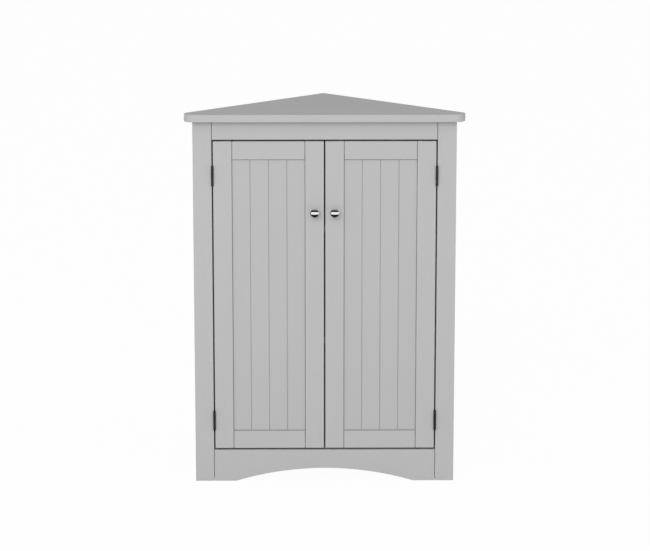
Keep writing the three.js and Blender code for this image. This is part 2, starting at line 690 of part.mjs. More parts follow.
// A mushroom knob, turned on its own axis: foot, hollowed neck, and a domed head
function knob() {
  const headBack = KNOB_PROJECTION - KNOB_RADIUS;
  const rimZ = (headBack + KNOB_PROJECTION) / 2;
  const domeSteps = 6;
  const dome = Array.from({ length: domeSteps + 1 }, (_, index) => {
    const angle = (index / domeSteps) * 2 * EIGHTH_TURN;
    return [KNOB_RADIUS * Math.cos(angle), rimZ + (KNOB_PROJECTION - rimZ) * Math.sin(angle)];
  });
  const neckSteps = 5;
  const neck = Array.from({ length: neckSteps }, (_, index) => {
    const share = index / neckSteps;
    const swell = Math.sin(share * 2 * EIGHTH_TURN) ** 2;
    const flare = KNOB_NECK_RADIUS + (KNOB_RADIUS - KNOB_NECK_RADIUS) * swell;
    return [flare, KNOB_NECK_START + share * (rimZ - KNOB_NECK_START)];
  });
  const bore = KNOB_SCREW_RADIUS + LOOSE_FIT;
  return turned([
    [0, KNOB_BORE_DEPTH],
    [bore, KNOB_BORE_DEPTH],
    [bore, 0],
    [KNOB_FOOT_RADIUS, 0],
    [KNOB_FOOT_RADIUS, EDGE_EASE],
    ...neck,
    ...dome.slice(0, -1),
    [0, KNOB_PROJECTION],
  ]);
}

// The knob's screw goes through the stile from behind, so its own Y points out of the door's front
function knobScrew() {
  const headTop = -DOOR_THICKNESS - GLUE_LINE;
  const headEdge = headTop - SCREW_HEAD_THICKNESS / 2;
  const profile = [
    [0, headTop - SCREW_HEAD_THICKNESS],
    [SCREW_HEAD_RADIUS / 2, headTop - SCREW_HEAD_THICKNESS],
    [SCREW_HEAD_RADIUS, headEdge],
    [SCREW_HEAD_RADIUS, headTop],
    [KNOB_SCREW_RADIUS, headTop],
    [KNOB_SCREW_RADIUS, KNOB_BORE_DEPTH - LOOSE_FIT],
    [0, KNOB_BORE_DEPTH - LOOSE_FIT],
  ];
  return turned(profile, SMALL_SIDES);
}

function strikePlate() {
  const [left, bottom] = [-STRIKE_WIDTH / 2, -STRIKE_HEIGHT / 2];
  const shape = roundedRectangle(left, bottom, STRIKE_WIDTH, STRIKE_HEIGHT, STRIKE_ROUND);
  const cornerSegments = 3;
  return faced(shape, 0, STRIKE_THICKNESS, 0, cornerSegments);
}

function door({ name, sign }) {
  const group = new THREE.Group();
  group.position.set(sign * HINGE_X, HINGE_Y, 0);
  cupboard.add(group);
  const leaves = new THREE.Group();
  group.add(leaves);
  const woodwork = new THREE.Group();
  woodwork.position.set(-sign * HINGE_X, -HINGE_Y, 0);
  group.add(woodwork);

  const outer = sign * DOOR_OUTER_X;
  const inner = sign * DOOR_INNER_X;
  const panelOuter = sign * (DOOR_OUTER_X - DOOR_STILE_WIDTH);
  const panelInner = sign * (DOOR_INNER_X + DOOR_STILE_WIDTH);
  const [left, right] = [panelOuter, panelInner].sort((a, b) => a - b);
  const screwHole = rod(KNOB_SCREW_RADIUS + LOOSE_FIT, -OVERRUN, DOOR_THICKNESS + OVERRUN);
  screwHole.translate(sign * KNOB_X, 0, KNOB_Z);
  doorStile(`${name}_door_hinge_stile`, panelOuter, outer, -sign, [], woodwork);
  doorStile(`${name}_door_meeting_stile`, inner, panelInner, sign, [screwHole], woodwork);
  doorRail(`${name}_door_top_rail`, left, right, DOOR_TOP, -1, woodwork);
  doorRail(`${name}_door_bottom_rail`, left, right, DOOR_BOTTOM, 1, woodwork);
  beadboardPanel(`${name}_door_panel`, left, right, woodwork);

  const knobMesh = piece(`${name}_knob`, knob(), chrome, woodwork);
  knobMesh.position.set(sign * KNOB_X, -GLUE_LINE, KNOB_Z);
  knobMesh.rotation.x = Math.PI;
  const screw = piece(`${name}_knob_screw`, knobScrew(), zinc, woodwork);
  screw.position.set(sign * KNOB_X, 0, KNOB_Z);
  screw.rotation.x = Math.PI;
  const strike = piece(`${name}_strike_plate`, strikePlate(), zinc, woodwork);
  strike.position.set(sign * MAGNET_X, DOOR_BACK_Y + GLUE_LINE, MAGNET_Z);

  for (const where of Object.keys(HINGE_HEIGHTS)) {
    doorHinge({ name, sign }, where, leaves);
  }
}

worktop();
floorPanel();
topRail();
archedApron();
catchBlock();
twinCatch();
SHELF_BOTTOMS.forEach((bottom, index) => shelf(SHELF_NAMES[index], bottom));
for (const side of SIDES) {
  sidePanel(side);
  camFittings(side);
  frameStile(side);
  Object.keys(HINGE_HEIGHTS).forEach((where) => frameHinge(side, where));
  door(side);
}

// The origin is on the floor, under the middle of the space that the cupboard takes up
const FRONT_MOST_Y = Math.min(TOP_FRONT_Y, -GLUE_LINE - KNOB_PROJECTION);
cupboard.position.y = -(FRONT_MOST_Y + TOP_BACK_Y) / 2;

export default cupboard;
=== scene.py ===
"""The looks of a corner cupboard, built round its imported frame.

The cupboard has painted boards with rounded arrises, two beadboard doors on butt hinges, chrome
knobs and the fittings inside. Lengths are in metres. X runs to the right along the front, Y runs
towards the corner of the room, and Z runs up from the floor.
"""

import logging
import math
from dataclasses import dataclass, field, replace
from enum import Enum
from typing import Any, ClassVar

import bmesh
import bpy
from mathutils import Color, Euler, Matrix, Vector

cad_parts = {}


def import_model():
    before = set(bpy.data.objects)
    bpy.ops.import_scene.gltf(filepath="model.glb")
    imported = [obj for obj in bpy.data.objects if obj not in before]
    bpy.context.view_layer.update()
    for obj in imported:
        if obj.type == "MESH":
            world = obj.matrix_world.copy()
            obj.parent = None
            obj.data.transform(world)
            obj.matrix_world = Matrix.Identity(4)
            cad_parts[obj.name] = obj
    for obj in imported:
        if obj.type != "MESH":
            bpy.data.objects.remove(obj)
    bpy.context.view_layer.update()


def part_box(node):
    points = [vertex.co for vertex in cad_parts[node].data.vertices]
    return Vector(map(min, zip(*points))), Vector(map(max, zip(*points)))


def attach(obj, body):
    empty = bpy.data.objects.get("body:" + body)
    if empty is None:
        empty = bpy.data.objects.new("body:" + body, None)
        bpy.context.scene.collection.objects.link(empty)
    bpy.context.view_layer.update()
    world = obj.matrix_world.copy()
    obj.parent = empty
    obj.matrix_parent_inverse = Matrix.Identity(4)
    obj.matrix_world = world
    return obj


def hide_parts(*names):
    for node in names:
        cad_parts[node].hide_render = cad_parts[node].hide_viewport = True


MM = 0.001
QUARTER_TURN = math.pi / 2
HALF_TURN = math.pi
FULL_TURN = 2 * math.pi

# Points that lie closer together than this are one point.
SAME_PLACE = 0.001 * MM

# The bevel on a board's arrises: its steps, and the least angle at which an edge is rounded.
ARRIS_STEPS = 3
ARRIS_ANGLE = math.radians(30)

# The least angle at which an edge of a piece without rounded arrises looks sharp.
CREASE_ANGLE = math.radians(35)

CORNER_STEPS = 5
BRIGHTEST = 255

Point = tuple[float, float]
Colour = tuple[float, float, float]

log = logging.getLogger("cupboard")


def painted(red: int, green: int, blue: int) -> Colour:
    """Turn a colour as a screen shows it into the linear one that a shader takes.

    Args:
        red: Red, from 0 to 255.
        green: Green, from 0 to 255.
        blue: Blue, from 0 to 255.

    Returns:
        The three linear values, from 0 to 1.
    """
    shown = Color([value / BRIGHTEST for value in (red, green, blue)])
    return tuple(shown.from_srgb_to_scene_linear())


class Slot(Enum):
    """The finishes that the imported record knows."""

    BOARD = "painted_board"
    BEADBOARD = "painted_beadboard"
    BLACK_STEEL = "black_steel"
    CHROME = "polished_chrome"
    ZINC = "zinc_plated_steel"
    PLASTIC = "white_plastic"
    MAGNET = "magnet_iron"


class Side(Enum):
    """The two sides of the cupboard, each with the sign of its X."""

    LEFT = -1
    RIGHT = 1

    @property
    def word(self) -> str:
        """Give the side's name as the frame spells it."""
        return self.name.lower()

    @property
    def door(self) -> str:
        """Give the name of the body that this side's door is."""
        return f"{self.word}_door"


class Height(Enum):
    """The two heights at which a door is hinged and at which the shelves are."""

    UPPER = "upper"
    LOWER = "lower"


class PanelEnd(Enum):
    """The two ends of a side panel, near which its fittings are."""

    BACK = "back"
    FRONT = "front"


class Leaf(Enum):
    """The two leaves of a hinge, by what they are screwed to."""

    FRAME = "frame"
    DOOR = "door"


CARCASS = "carcass"


class Wire:
    """An output of a node, on which Python's operators work by adding Math nodes."""

    def __init__(self, wiring: "Wiring", socket: bpy.types.NodeSocket) -> None:
        """Keep the output and the wiring that it belongs to.

        Args:
            wiring: The wiring of the node tree.
            socket: The output that this wire starts from.
        """
        self.wiring = wiring
        self.socket = socket

    def work(self, operation: str, *others: "Wire | float") -> "Wire":
        """Run a Math node on this wire and others.

        Args:
            operation: The Math node's operation.
            others: The wires or numbers that follow this one.

        Returns:
            The wire that carries the result.
        """
        return self.wiring.work(operation, self, *others)

    def __add__(self, other: "Wire | float") -> "Wire":
        """Add another value."""
        return self.work("ADD", other)

    __radd__ = __add__

    def __sub__(self, other: "Wire | float") -> "Wire":
        """Take another value away."""
        return self.work("SUBTRACT", other)

    def __rsub__(self, other: "Wire | float") -> "Wire":
        """Take this wire away from another value."""
        return self.wiring.work("SUBTRACT", other, self)

    def __neg__(self) -> "Wire":
        """Turn the sign round."""
        return self.wiring.work("SUBTRACT", 0.0, self)

    def __mul__(self, other: "Wire | float") -> "Wire":
        """Multiply by another value."""
        return self.work("MULTIPLY", other)

    __rmul__ = __mul__

    def __truediv__(self, other: "Wire | float") -> "Wire":
        """Divide by another value."""
        return self.work("DIVIDE", other)

    def __rtruediv__(self, other: "Wire | float") -> "Wire":
        """Divide another value by this wire."""
        return self.wiring.work("DIVIDE", other, self)

    def __gt__(self, other: "Wire | float") -> "Wire":
        """Give 1 where this wire is greater, and 0 elsewhere."""
        return self.work("GREATER_THAN", other)

    def __lt__(self, other: "Wire | float") -> "Wire":
        """Give 1 where this wire is smaller, and 0 elsewhere."""
        return self.work("LESS_THAN", other)


class Node:
    """A node whose outputs are read by name or number."""

    def __init__(self, wiring: "Wiring", made: bpy.types.Node) -> None:
        """Keep the node and its wiring.

        Args:
            wiring: The wiring of the node tree.
            made: The node itself.
        """
        self.wiring = wiring
        self.made = made

    def __getitem__(self, output: str | int) -> Wire:
        """Give the wire that starts from one of the outputs."""
        return Wire(self.wiring, self.made.outputs[output])


class Wiring:
    """A node tree, for a material or a mesh, that is put together in Python."""

    # The places of a Mix node's sockets for colours, among those for its other types of data.
    mix_share: ClassVar[int] = 0
    mix_first: ClassVar[int] = 6
    mix_second: ClassVar[int] = 7
    mix_result: ClassVar[int] = 2

    def __init__(self, tree: bpy.types.NodeTree) -> None:
        """Keep the tree that the nodes go into.

        Args:
            tree: The node tree.
        """
        self.tree = tree

    def add(self, kind: str, inputs: dict[str | int, Any] | None = None, **settings: Any) -> Node:
        """Add a node, set it and feed its inputs.

        Args:
            kind: Blender's name for the type of node.
            inputs: The value or wire of each input, by the input's name or number.
            settings: The node's own settings, which are set first.

        Returns:
            The node.
        """
        made = self.tree.nodes.new(kind)
        for setting, value in settings.items():
            setattr(made, setting, value)
        for key, value in (inputs or {}).items():
            self.feed(made.inputs[key], value)
        return Node(self, made)

    def feed(self, socket: bpy.types.NodeSocket, value: Any) -> None:
        """Set an input, or link it.

        Args:
            socket: The input.
            value: A plain value, a wire, or a list of wires for an input that takes several.
        """
        if isinstance(value, list):
            for strand in value:
                self.tree.links.new(strand.socket, socket)
        elif isinstance(value, Wire):
            self.tree.links.new(value.socket, socket)
        else:
            socket.default_value = value

    def work(self, operation: str, *values: Wire | float) -> Wire:
        """Run a Math node.

        Args:
            operation: The Math node's operation.
            values: Its wires or numbers, in order.

        Returns:
            The wire that carries the result.
        """
        return self.add("ShaderNodeMath", dict(enumerate(values)), operation=operation)["Value"]

    def vector(self, x: Wire | float = 0.0, y: Wire | float = 0.0, z: Wire | float = 0.0) -> Wire:
        """Put three values together as a vector.

        Args:
            x: The first value.
            y: The second value.
            z: The third value.

        Returns:
            The vector's wire.
        """
        return self.add("ShaderNodeCombineXYZ", {"X": x, "Y": y, "Z": z})["Vector"]

    def place(self) -> Node:
        """Split each point's place in a mesh into its X, Y and Z."""
        position = self.add("GeometryNodeInputPosition")["Position"]
        return self.add("ShaderNodeSeparateXYZ", {"Vector": position})

    def mixed(self, share: Wire, first: Colour, second: Colour) -> Wire:
        """Mix two colours.

        Args:
            share: How much of the second colour there is, from 0 to 1.
            first: The colour at 0.
            second: The colour at 1.

        Returns:
            The colour's wire.
        """
        inputs = {self.mix_share: share, self.mix_first: (*first, 1), self.mix_second: (*second, 1)}
        return self.add("ShaderNodeMix", inputs, data_type="RGBA")[self.mix_result]

    def clouds(self, place: Wire, size: float, detail: float = 2.0) -> Wire:
        """Make a soft random pattern of a given grain.

        Args:
            place: The coordinates that the pattern lies in.
            size: The distance from one cloud to the next, in metres.
            detail: How many finer layers are added.

        Returns:
            The pattern's wire, from 0 to 1 and mostly near a half.
        """
        inputs = {"Vector": place, "Scale": 1 / size, "Detail": detail}
        return self.add("ShaderNodeTexNoise", inputs)["Fac"]

    def fade(self, value: Wire, nothing: float, full: float) -> Wire:
        """Turn a value into a share that rises smoothly from 0 to 1.

        Args:
            value: The value that is read.
            nothing: The value at which the share is 0.
            full: The value at which the share is 1.

        Returns:
            The share's wire.
        """
        inputs = {"Value": value, "From Min": nothing, "From Max": full}
        return self.add("ShaderNodeMapRange", inputs, interpolation_type="SMOOTHSTEP")["Result"]

    def relief(self, height: Wire, depth: float) -> Wire:
        """Give the bent normal of a fine relief, from its height and how deep it is."""
        return self.add("ShaderNodeBump", {"Distance": depth, "Height": height})["Normal"]


@dataclass(frozen=True)
class Finish:
    """A finish that pieces are given, with the record's slot that it belongs to."""

    name: str
    slot: Slot
    colour: Colour
    roughness: float
    metallic: float = 0.0
    specular: float = 0.5

    def material(self) -> bpy.types.Material:
        """Give the finish's material, and make it the first time.

        Returns:
            The material.
        """
        known = bpy.data.materials.get(self.name)
        if known:
            return known
        material = bpy.data.materials.new(self.name)
        material.use_nodes = True
        wiring = Wiring(material.node_tree)
        shader = material.node_tree.nodes["Principled BSDF"]
        shader.inputs["Metallic"].default_value = self.metallic
        shader.inputs["Specular IOR Level"].default_value = self.specular
        place = wiring.add("ShaderNodeTexCoord")["Object"]
        for socket, wire in self.surface(wiring, place).items():
            wiring.feed(shader.inputs[socket], wire)
        return material

    def shade(self, factor: float) -> Colour:
        """Give the finish's colour, made lighter or darker by a factor."""
        return tuple(value * factor for value in self.colour)

    def surface(self, wiring: Wiring, place: Wire) -> dict[str, Wire]:
        """Work out what varies over the surface.

        Args:
            wiring: The material's wiring.
            place: The piece's own coordinates.

        Returns:
            The wires for the shader's inputs, by the input's name.
        """
        raise NotImplementedError


@dataclass(frozen=True)
class SatinPaint(Finish):
    """Sprayed satin paint on smooth board, with a faint orange peel and a slow drift in tone."""

    drift: float = 0.02
    drift_size: float = 160 * MM
    peel_size: float = 1.7 * MM
    peel_depth: float = 0.012 * MM
    dust_size: float = 0.5 * MM
    dust_share: float = 0.3
    handled_share: float = 1 / 3
    sheen_change: float = 0.12

    def surface(self, wiring: Wiring, place: Wire) -> dict[str, Wire]:
        """Work out the paint's tone, its sheen and its peel.

        Args:
            wiring: The material's wiring.
            place: The piece's own coordinates.

        Returns:
            The wires for the shader's inputs, by the input's name.
        """
        slow = wiring.clouds(place, self.drift_size, detail=3.0)
        peel = wiring.clouds(place, self.peel_size, detail=1.0)
        dust = wiring.clouds(place, self.dust_size, detail=0.0)
        handled = wiring.clouds(place, self.drift_size * self.handled_share)
        return {
            "Base Color": wiring.mixed(slow, self.shade(1 - self.drift), self.shade(1 + self.drift)),
            "Roughness": self.roughness + (handled - 0.5) * self.sheen_change,
            "Normal": wiring.relief(peel + dust * self.dust_share, self.peel_depth),
        }


@dataclass(frozen=True)
class PlatedMetal(Finish):
    """Polished or plated metal with fine wipe marks and a slight cloud in its shine."""

    cloud_size: float = 4 * MM
    cloud: float = 0.05
    dulled: float = 0.04
    mark_size: float = 0.35 * MM
    mark_depth: float = 0.001 * MM
    mark_stretch: tuple[float, float, float] = (1, 1, 0.12)

    def surface(self, wiring: Wiring, place: Wire) -> dict[str, Wire]:
        """Work out the plating's tone, its shine and its wipe marks.

        Args:
            wiring: The material's wiring.
            place: The piece's own coordinates.

        Returns:
            The wires for the shader's inputs, by the input's name.
        """
        cloud = wiring.clouds(place, self.cloud_size)
        drawn = wiring.add("ShaderNodeMapping", {"Vector": place, "Scale": self.mark_stretch})["Vector"]
        marks = wiring.clouds(drawn, self.mark_size, detail=1.0)
        return {
            "Base Color": wiring.mixed(cloud, self.shade(1 - self.dulled), self.colour),
            "Roughness": self.roughness + cloud * self.cloud,
            "Normal": wiring.relief(marks, self.mark_depth),
        }


@dataclass(frozen=True)
class CoatedSteel(Finish):
    """Blackened steel with a fine grain and its high spots rubbed a little lighter."""

    grain_size: float = 0.6 * MM
    grain_depth: float = 0.006 * MM
    grains_in_patch: int = 8
    rubbed: float = 1.5
    sheen_change: float = 0.2

    def surface(self, wiring: Wiring, place: Wire) -> dict[str, Wire]:
        """Work out the coat's tone, its sheen and its grain.

        Args:
            wiring: The material's wiring.
            place: The piece's own coordinates.

        Returns:
            The wires for the shader's inputs, by the input's name.
        """
        grain = wiring.clouds(place, self.grain_size)
        patch = wiring.clouds(place, self.grains_in_patch * self.grain_size)
        return {
            "Base Color": wiring.mixed(patch, self.colour, self.shade(self.rubbed)),
            "Roughness": self.roughness + (grain - 0.5) * self.sheen_change,
            "Normal": wiring.relief(grain, self.grain_depth),
        }


@dataclass(frozen=True)
class MouldedPlastic(Finish):
    """Moulded plastic with the fine spark texture of its tool."""

    spark_size: float = 0.4 * MM
    spark_depth: float = 0.01 * MM
    sparks_in_flow: int = 30
    flow_dark: float = 0.97
    flow_light: float = 1.02
    sheen_change: float = 0.15

    def surface(self, wiring: Wiring, place: Wire) -> dict[str, Wire]:
        """Work out the plastic's tone, its sheen and its texture.

        Args:
            wiring: The material's wiring.
            place: The piece's own coordinates.

        Returns:
            The wires for the shader's inputs, by the input's name.
        """
        spark = wiring.clouds(place, self.spark_size)
        flow = wiring.clouds(place, self.sparks_in_flow * self.spark_size)
        return {
            "Base Color": wiring.mixed(flow, self.shade(self.flow_dark), self.shade(self.flow_light)),
            "Roughness": self.roughness + (spark - 0.5) * self.sheen_change,
            "Normal": wiring.relief(spark, self.spark_depth),
        }


BOARD_PAINT = SatinPaint("satin_grey_paint", Slot.BOARD, painted(190, 190, 190), 0.45, specular=0.3)
PANEL_PAINT = SatinPaint(
    "satin_grey_panel_paint", Slot.BEADBOARD, painted(188, 189, 188), 0.47, specular=0.3
)
CHROME = PlatedMetal("polished_chrome_plate", Slot.CHROME, (0.86, 0.87, 0.88), 0.05, metallic=1.0)
ZINC = PlatedMetal("bright_zinc_plate", Slot.ZINC, (0.58, 0.59, 0.60), 0.28, metallic=1.0, cloud=0.15)
BLACK_STEEL = CoatedSteel("blackened_steel", Slot.BLACK_STEEL, (0.034, 0.034, 0.035), 0.45, metallic=0.5)
# The catch housing's near-black colour is painted shade for the gap between the doors in front of it.
GAP_SHADE_PLASTIC = MouldedPlastic("dark_grey_moulded_plastic", Slot.PLASTIC, (0.03, 0.03, 0.031), 0.5)
MAGNET_IRON = CoatedSteel("magnet_iron", Slot.MAGNET, (0.10, 0.10, 0.105), 0.4, metallic=0.9)


class Way(Enum):
    """The direction in which an outline is carried to make a solid."""

    ACROSS = "x"
    BACK = "y"
    UP = "z"

    def at(self, point: Point, along: float) -> Vector:
        """Give the place of an outline's point at a distance along the way.

        Args:
            point: The point in the outline's own plane.
            along: The distance along the way.

        Returns:
            The place in the cupboard.
        """
        if self is Way.ACROSS:
            return Vector((along, *point))
        if self is Way.BACK:
            return Vector((point[0], along, point[1]))
        return Vector((*point, along))


def closed(work: bmesh.types.BMesh, name: str) -> bpy.types.Mesh:
    """Merge a solid's doubles, turn its faces outwards and make it a smooth mesh.

    Args:
        work: The solid, which is freed.
        name: The mesh's name.

    Returns:
        The mesh.
    """
    bmesh.ops.remove_doubles(work, verts=work.verts, dist=SAME_PLACE)
    bmesh.ops.recalc_face_normals(work, faces=work.faces)
    mesh = bpy.data.meshes.new(name)
    work.to_mesh(mesh)
    work.free()
    mesh.shade_smooth()
    return mesh


def prism(name: str, way: Way, *bodies: tuple[list[Point], float, float]) -> bpy.types.Mesh:
    """Carry outlines along a way to make a straight solid.

    Args:
        name: The mesh's name.
        way: The direction in which the outlines are carried.
        bodies: For each body its outline, and where it starts and ends along the way.

    Returns:
        The mesh.
    """
    work = bmesh.new()
    for outline, start, end in bodies:
        first = [work.verts.new(way.at(point, start)) for point in outline]
        last = [work.verts.new(way.at(point, end)) for point in outline]
        work.faces.new(first)
        work.faces.new(last)
        for index in range(len(outline)):
            work.faces.new((first[index - 1], first[index], last[index], last[index - 1]))
    return closed(work, name)


def turned(name: str, profile: list[Point], centre: Vector, axis: Vector, sides: int) -> bpy.types.Mesh:
    """Turn a profile about an axis to make a solid.

    Args:
        name: The mesh's name.
        profile: Points of radius and height, which start and end on the axis.
        centre: Where the axis starts.
        axis: The direction of the axis.
        sides: How many faces go round.

    Returns:
        The mesh.
    """
    stand = axis.to_track_quat("Z", "Y")
    angles = [FULL_TURN * side / sides for side in range(sides)]
    circle = [(math.cos(angle), math.sin(angle)) for angle in angles]
    work = bmesh.new()
    rings = []
    for radius, height in profile:
        spokes = (Vector((radius * x, radius * y, height)) for x, y in circle)
        rings.append([work.verts.new(centre + stand @ spoke) for spoke in spokes])
    for lower, upper in zip(rings, rings[1:]):
        for side in range(sides):
            work.faces.new((lower[side - 1], lower[side], upper[side], upper[side - 1]))
    return closed(work, name)


def rectangle(left: float, right: float, bottom: float, top: float) -> list[Point]:
    """Give the four corners of a rectangle.

    Args:
        left: Its lower limit along the first axis.
        right: Its upper limit along the first axis.
        bottom: Its lower limit along the second axis.
        top: Its upper limit along the second axis.

    Returns:
        The corners, in order.
    """
    return [(left, bottom), (right, bottom), (right, top), (left, top)]


def oval_arc(centre: Point, radii: Point, start: float, end: float, steps: int) -> list[Point]:
    """Give points along a part of an ellipse, both ends included.

    Args:
        centre: The ellipse's centre.
        radii: Its radius along the first and along the second axis.
        start: The angle at which the arc starts.
        end: The angle at which it ends.
        steps: How many straight steps it has.

    Returns:
        The points, in order.
    """
    angles = (start + (end - start) * step / steps for step in range(steps + 1))
    return [
        (centre[0] + radii[0] * math.cos(angle), centre[1] + radii[1] * math.sin(angle))
        for angle in angles
    ]


def arc(centre: Point, radius: float, start: float, end: float, steps: int) -> list[Point]:
    """Give points along an arc of a circle, both ends included."""
    return oval_arc(centre, (radius, radius), start, end, steps)


def rounded_rectangle(middle: Point, width: float, height: float, radius: float) -> list[Point]:
    """Give a rectangle whose corners are rounded.

    Args:
        middle: Its middle.
        width: Its size along the first axis.
        height: Its size along the second axis.
        radius: The radius of its corners.

    Returns:
        The points, in order.
    """
    points: list[Point] = []
    for quarter, (across, up) in enumerate(((1, 1), (-1, 1), (-1, -1), (1, -1))):
        corner = (middle[0] + across * (width / 2 - radius), middle[1] + up * (height / 2 - radius))
        start = quarter * QUARTER_TURN
        points += arc(corner, radius, start, start + QUARTER_TURN, CORNER_STEPS)
    return points


def fit(
    name: str,
    mesh: bpy.types.Mesh,
    finish: Finish,
    body: str,
    stands_for: tuple[str, ...] = (),
    arris: float = 0.0,
) -> bpy.types.Object:
    """Put a finished mesh on its body, and report it.

    Args:
        name: The piece's name.
        mesh: The piece's mesh, already in its place.
        finish: The finish that it is given.
        body: The body of the frame that it rides on.
        stands_for: The nodes of the frame that it replaces.
        arris: The radius to which its edges are rounded, or 0 to keep them as they are.

    Returns:
        The piece.
    """
    mesh.materials.clear()
    mesh.materials.append(finish.material())
    piece = bpy.data.objects.new(name, mesh)
    bpy.context.scene.collection.objects.link(piece)
    if arris:
        rounding = piece.modifiers.new("Rounded arrises", "BEVEL")
        rounding.width = arris
        rounding.segments = ARRIS_STEPS
        rounding.limit_method = "ANGLE"
        rounding.angle_limit = ARRIS_ANGLE
        rounding.harden_normals = True
    else:
        mesh.set_sharp_from_angle(angle=CREASE_ANGLE)
    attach(piece, body)
    if stands_for:
        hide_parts(*stands_for)
    log.info("%s rides on %s in %s", name, body, finish.name)
    return piece


def dress(node: str, finish: Finish) -> None:
    """Give a node of the frame a better finish, and report it.

    Args:
        node: The node's name.
        finish: The finish that it is given.
    """
    carried = bpy.data.objects[node]
    for place in carried.material_slots:
        place.material = finish.material()
    log.info("%s keeps its shape in %s", node, finish.name)


def centre_of(node: str) -> Vector:
    """Find the middle of a node's box."""
    low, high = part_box(node)
    return (low + high) / 2


@dataclass(frozen=True)
class Spot:
    """A place for a part that is made by a node tree, and how the part is turned there."""

    point: Vector
    turn: Euler = Euler((0, 0, 0))

    @classmethod
    def facing(cls, point: Vector, aim: Vector, proud: float = 0.0) -> "Spot":
        """Give a spot whose part's Z axis points in a direction.

        Args:
            point: The place.
            aim: The direction, of length 1.
            proud: How far the part stands out from the place, or is sunk below it if negative.

        Returns:
            The spot.
        """
        return cls(point + aim * proud, aim.to_track_quat("Z", "Y").to_euler())


class PartTree:
    """A Geometry Nodes tree that shapes one part from named sizes and sets it at every spot."""

    title: ClassVar[str]
    lengths: ClassVar[tuple[str, ...]]
    counts: ClassVar[tuple[str, ...]] = ()

    def __init__(self) -> None:
        """Build the tree, with an input for each of its sizes."""
        self.tree = bpy.data.node_groups.new(self.title, "GeometryNodeTree")
        face = self.tree.interface
        face.new_socket("Spots", in_out="INPUT", socket_type="NodeSocketGeometry")
        face.new_socket("Parts", in_out="OUTPUT", socket_type="NodeSocketGeometry")
        kinds = {
            **dict.fromkeys(self.lengths, "NodeSocketFloat"),
            **dict.fromkeys(self.counts, "NodeSocketInt"),
            "Material": "NodeSocketMaterial",
        }
        self.keys = {
            label: face.new_socket(label, in_out="INPUT", socket_type=kind).identifier
            for label, kind in kinds.items()
        }
        wiring = Wiring(self.tree)
        given = wiring.add("NodeGroupInput")
        turn = wiring.add("GeometryNodeInputNamedAttribute", {"Name": "turn"}, data_type="FLOAT_VECTOR")
        rotation = wiring.add("FunctionNodeEulerToRotation", {"Euler": turn["Attribute"]})["Rotation"]
        parts = repeated(wiring, given["Spots"], self.part(wiring, given), rotation)
        inputs = {"Geometry": parts, "Material": given["Material"]}
        dressed = wiring.add("GeometryNodeSetMaterial", inputs)["Geometry"]
        wiring.add("NodeGroupOutput", {"Parts": dressed})

    def part(self, wiring: Wiring, given: Node) -> Wire:
        """Shape the part at the origin.

        Args:
            wiring: The tree's wiring.
            given: The tree's inputs.

        Returns:
            The part's wire.
        """
        raise NotImplementedError

    def make(
        self, name: str, spots: list[Spot], finish: Finish, sizes: dict[str, float]
    ) -> bpy.types.Mesh:
        """Run the tree and give what it makes as a plain mesh.

        Args:
            name: The mesh's name.
            spots: Where the parts go.
            finish: The finish that they are given.
            sizes: The value of each of the tree's inputs.

        Returns:
            The mesh.
        """
        seed = bpy.data.meshes.new(name)
        seed.from_pydata([spot.point for spot in spots], [], [])
        turns = seed.attributes.new("turn", "FLOAT_VECTOR", "POINT")
        for item, spot in zip(turns.data, spots):
            item.vector = spot.turn
        worker = bpy.data.objects.new(f"{name}_worker", seed)
        bpy.context.scene.collection.objects.link(worker)
        modifier = worker.modifiers.new(self.title, "NODES")
        modifier.node_group = self.tree
        for label, value in sizes.items():
            modifier[self.keys[label]] = value
        modifier[self.keys["Material"]] = finish.material()
        evaluated = worker.evaluated_get(bpy.context.evaluated_depsgraph_get())
        mesh = bpy.data.meshes.new_from_object(evaluated)
        mesh.name = name
        mesh.shade_smooth()
        worker.modifiers.remove(modifier)
        bpy.data.objects.remove(worker)
        bpy.data.meshes.remove(seed)
        return mesh


def moved(
    wiring: Wiring,
    shape: Wire,
    step: Wire | tuple[float, ...] = (0, 0, 0),
    turn: tuple[float, ...] = (0, 0, 0),
) -> Wire:
    """Move and turn a shape inside a tree.

    Args:
        wiring: The tree's wiring.
        shape: The shape.
        step: Where its origin goes.
        turn: How it is turned first.

    Returns:
        The moved shape's wire.
    """
    inputs = {"Geometry": shape, "Translation": step, "Rotation": turn}
    return wiring.add("GeometryNodeTransform", inputs)["Geometry"]


def repeated(
    wiring: Wiring, points: Wire, shape: Wire, turn: Wire | tuple[float, ...] = (0, 0, 0)
) -> Wire:
    """Set a shape at every point of a tree, as real geometry.

    Args:
        wiring: The tree's wiring.
        points: The points.
        shape: The shape.
        turn: How it is turned at each point.

    Returns:
        The wire of all the shapes.
    """
    inputs = {"Points": points, "Instance": shape, "Rotation": turn}
    placed = wiring.add("GeometryNodeInstanceOnPoints", inputs)["Instances"]
    return wiring.add("GeometryNodeRealizeInstances", {"Geometry": placed})["Geometry"]


def rod(wiring: Wiring, sides: int, radius: Wire, length: Wire) -> Wire:
    """Make a round rod along Z, with its middle at the origin."""
    inputs = {"Vertices": sides, "Radius": radius, "Depth": length}
    return wiring.add("GeometryNodeMeshCylinder", inputs)["Mesh"]


def tapered(wiring: Wiring, sides: int, bottom: Wire, top: Wire, length: Wire) -> Wire:
    """Make a round solid from the origin up along Z, with a radius at the bottom and at the top."""
    inputs = {"Vertices": sides, "Radius Bottom": bottom, "Radius Top": top, "Depth": length}
    return wiring.add("GeometryNodeMeshCone", inputs)["Mesh"]


def block(wiring: Wiring, width: Wire, depth: Wire, height: Wire) -> Wire:
    """Make a block with its middle at the origin."""
    return wiring.add("GeometryNodeMeshCube", {"Size": wiring.vector(width, depth, height)})["Mesh"]


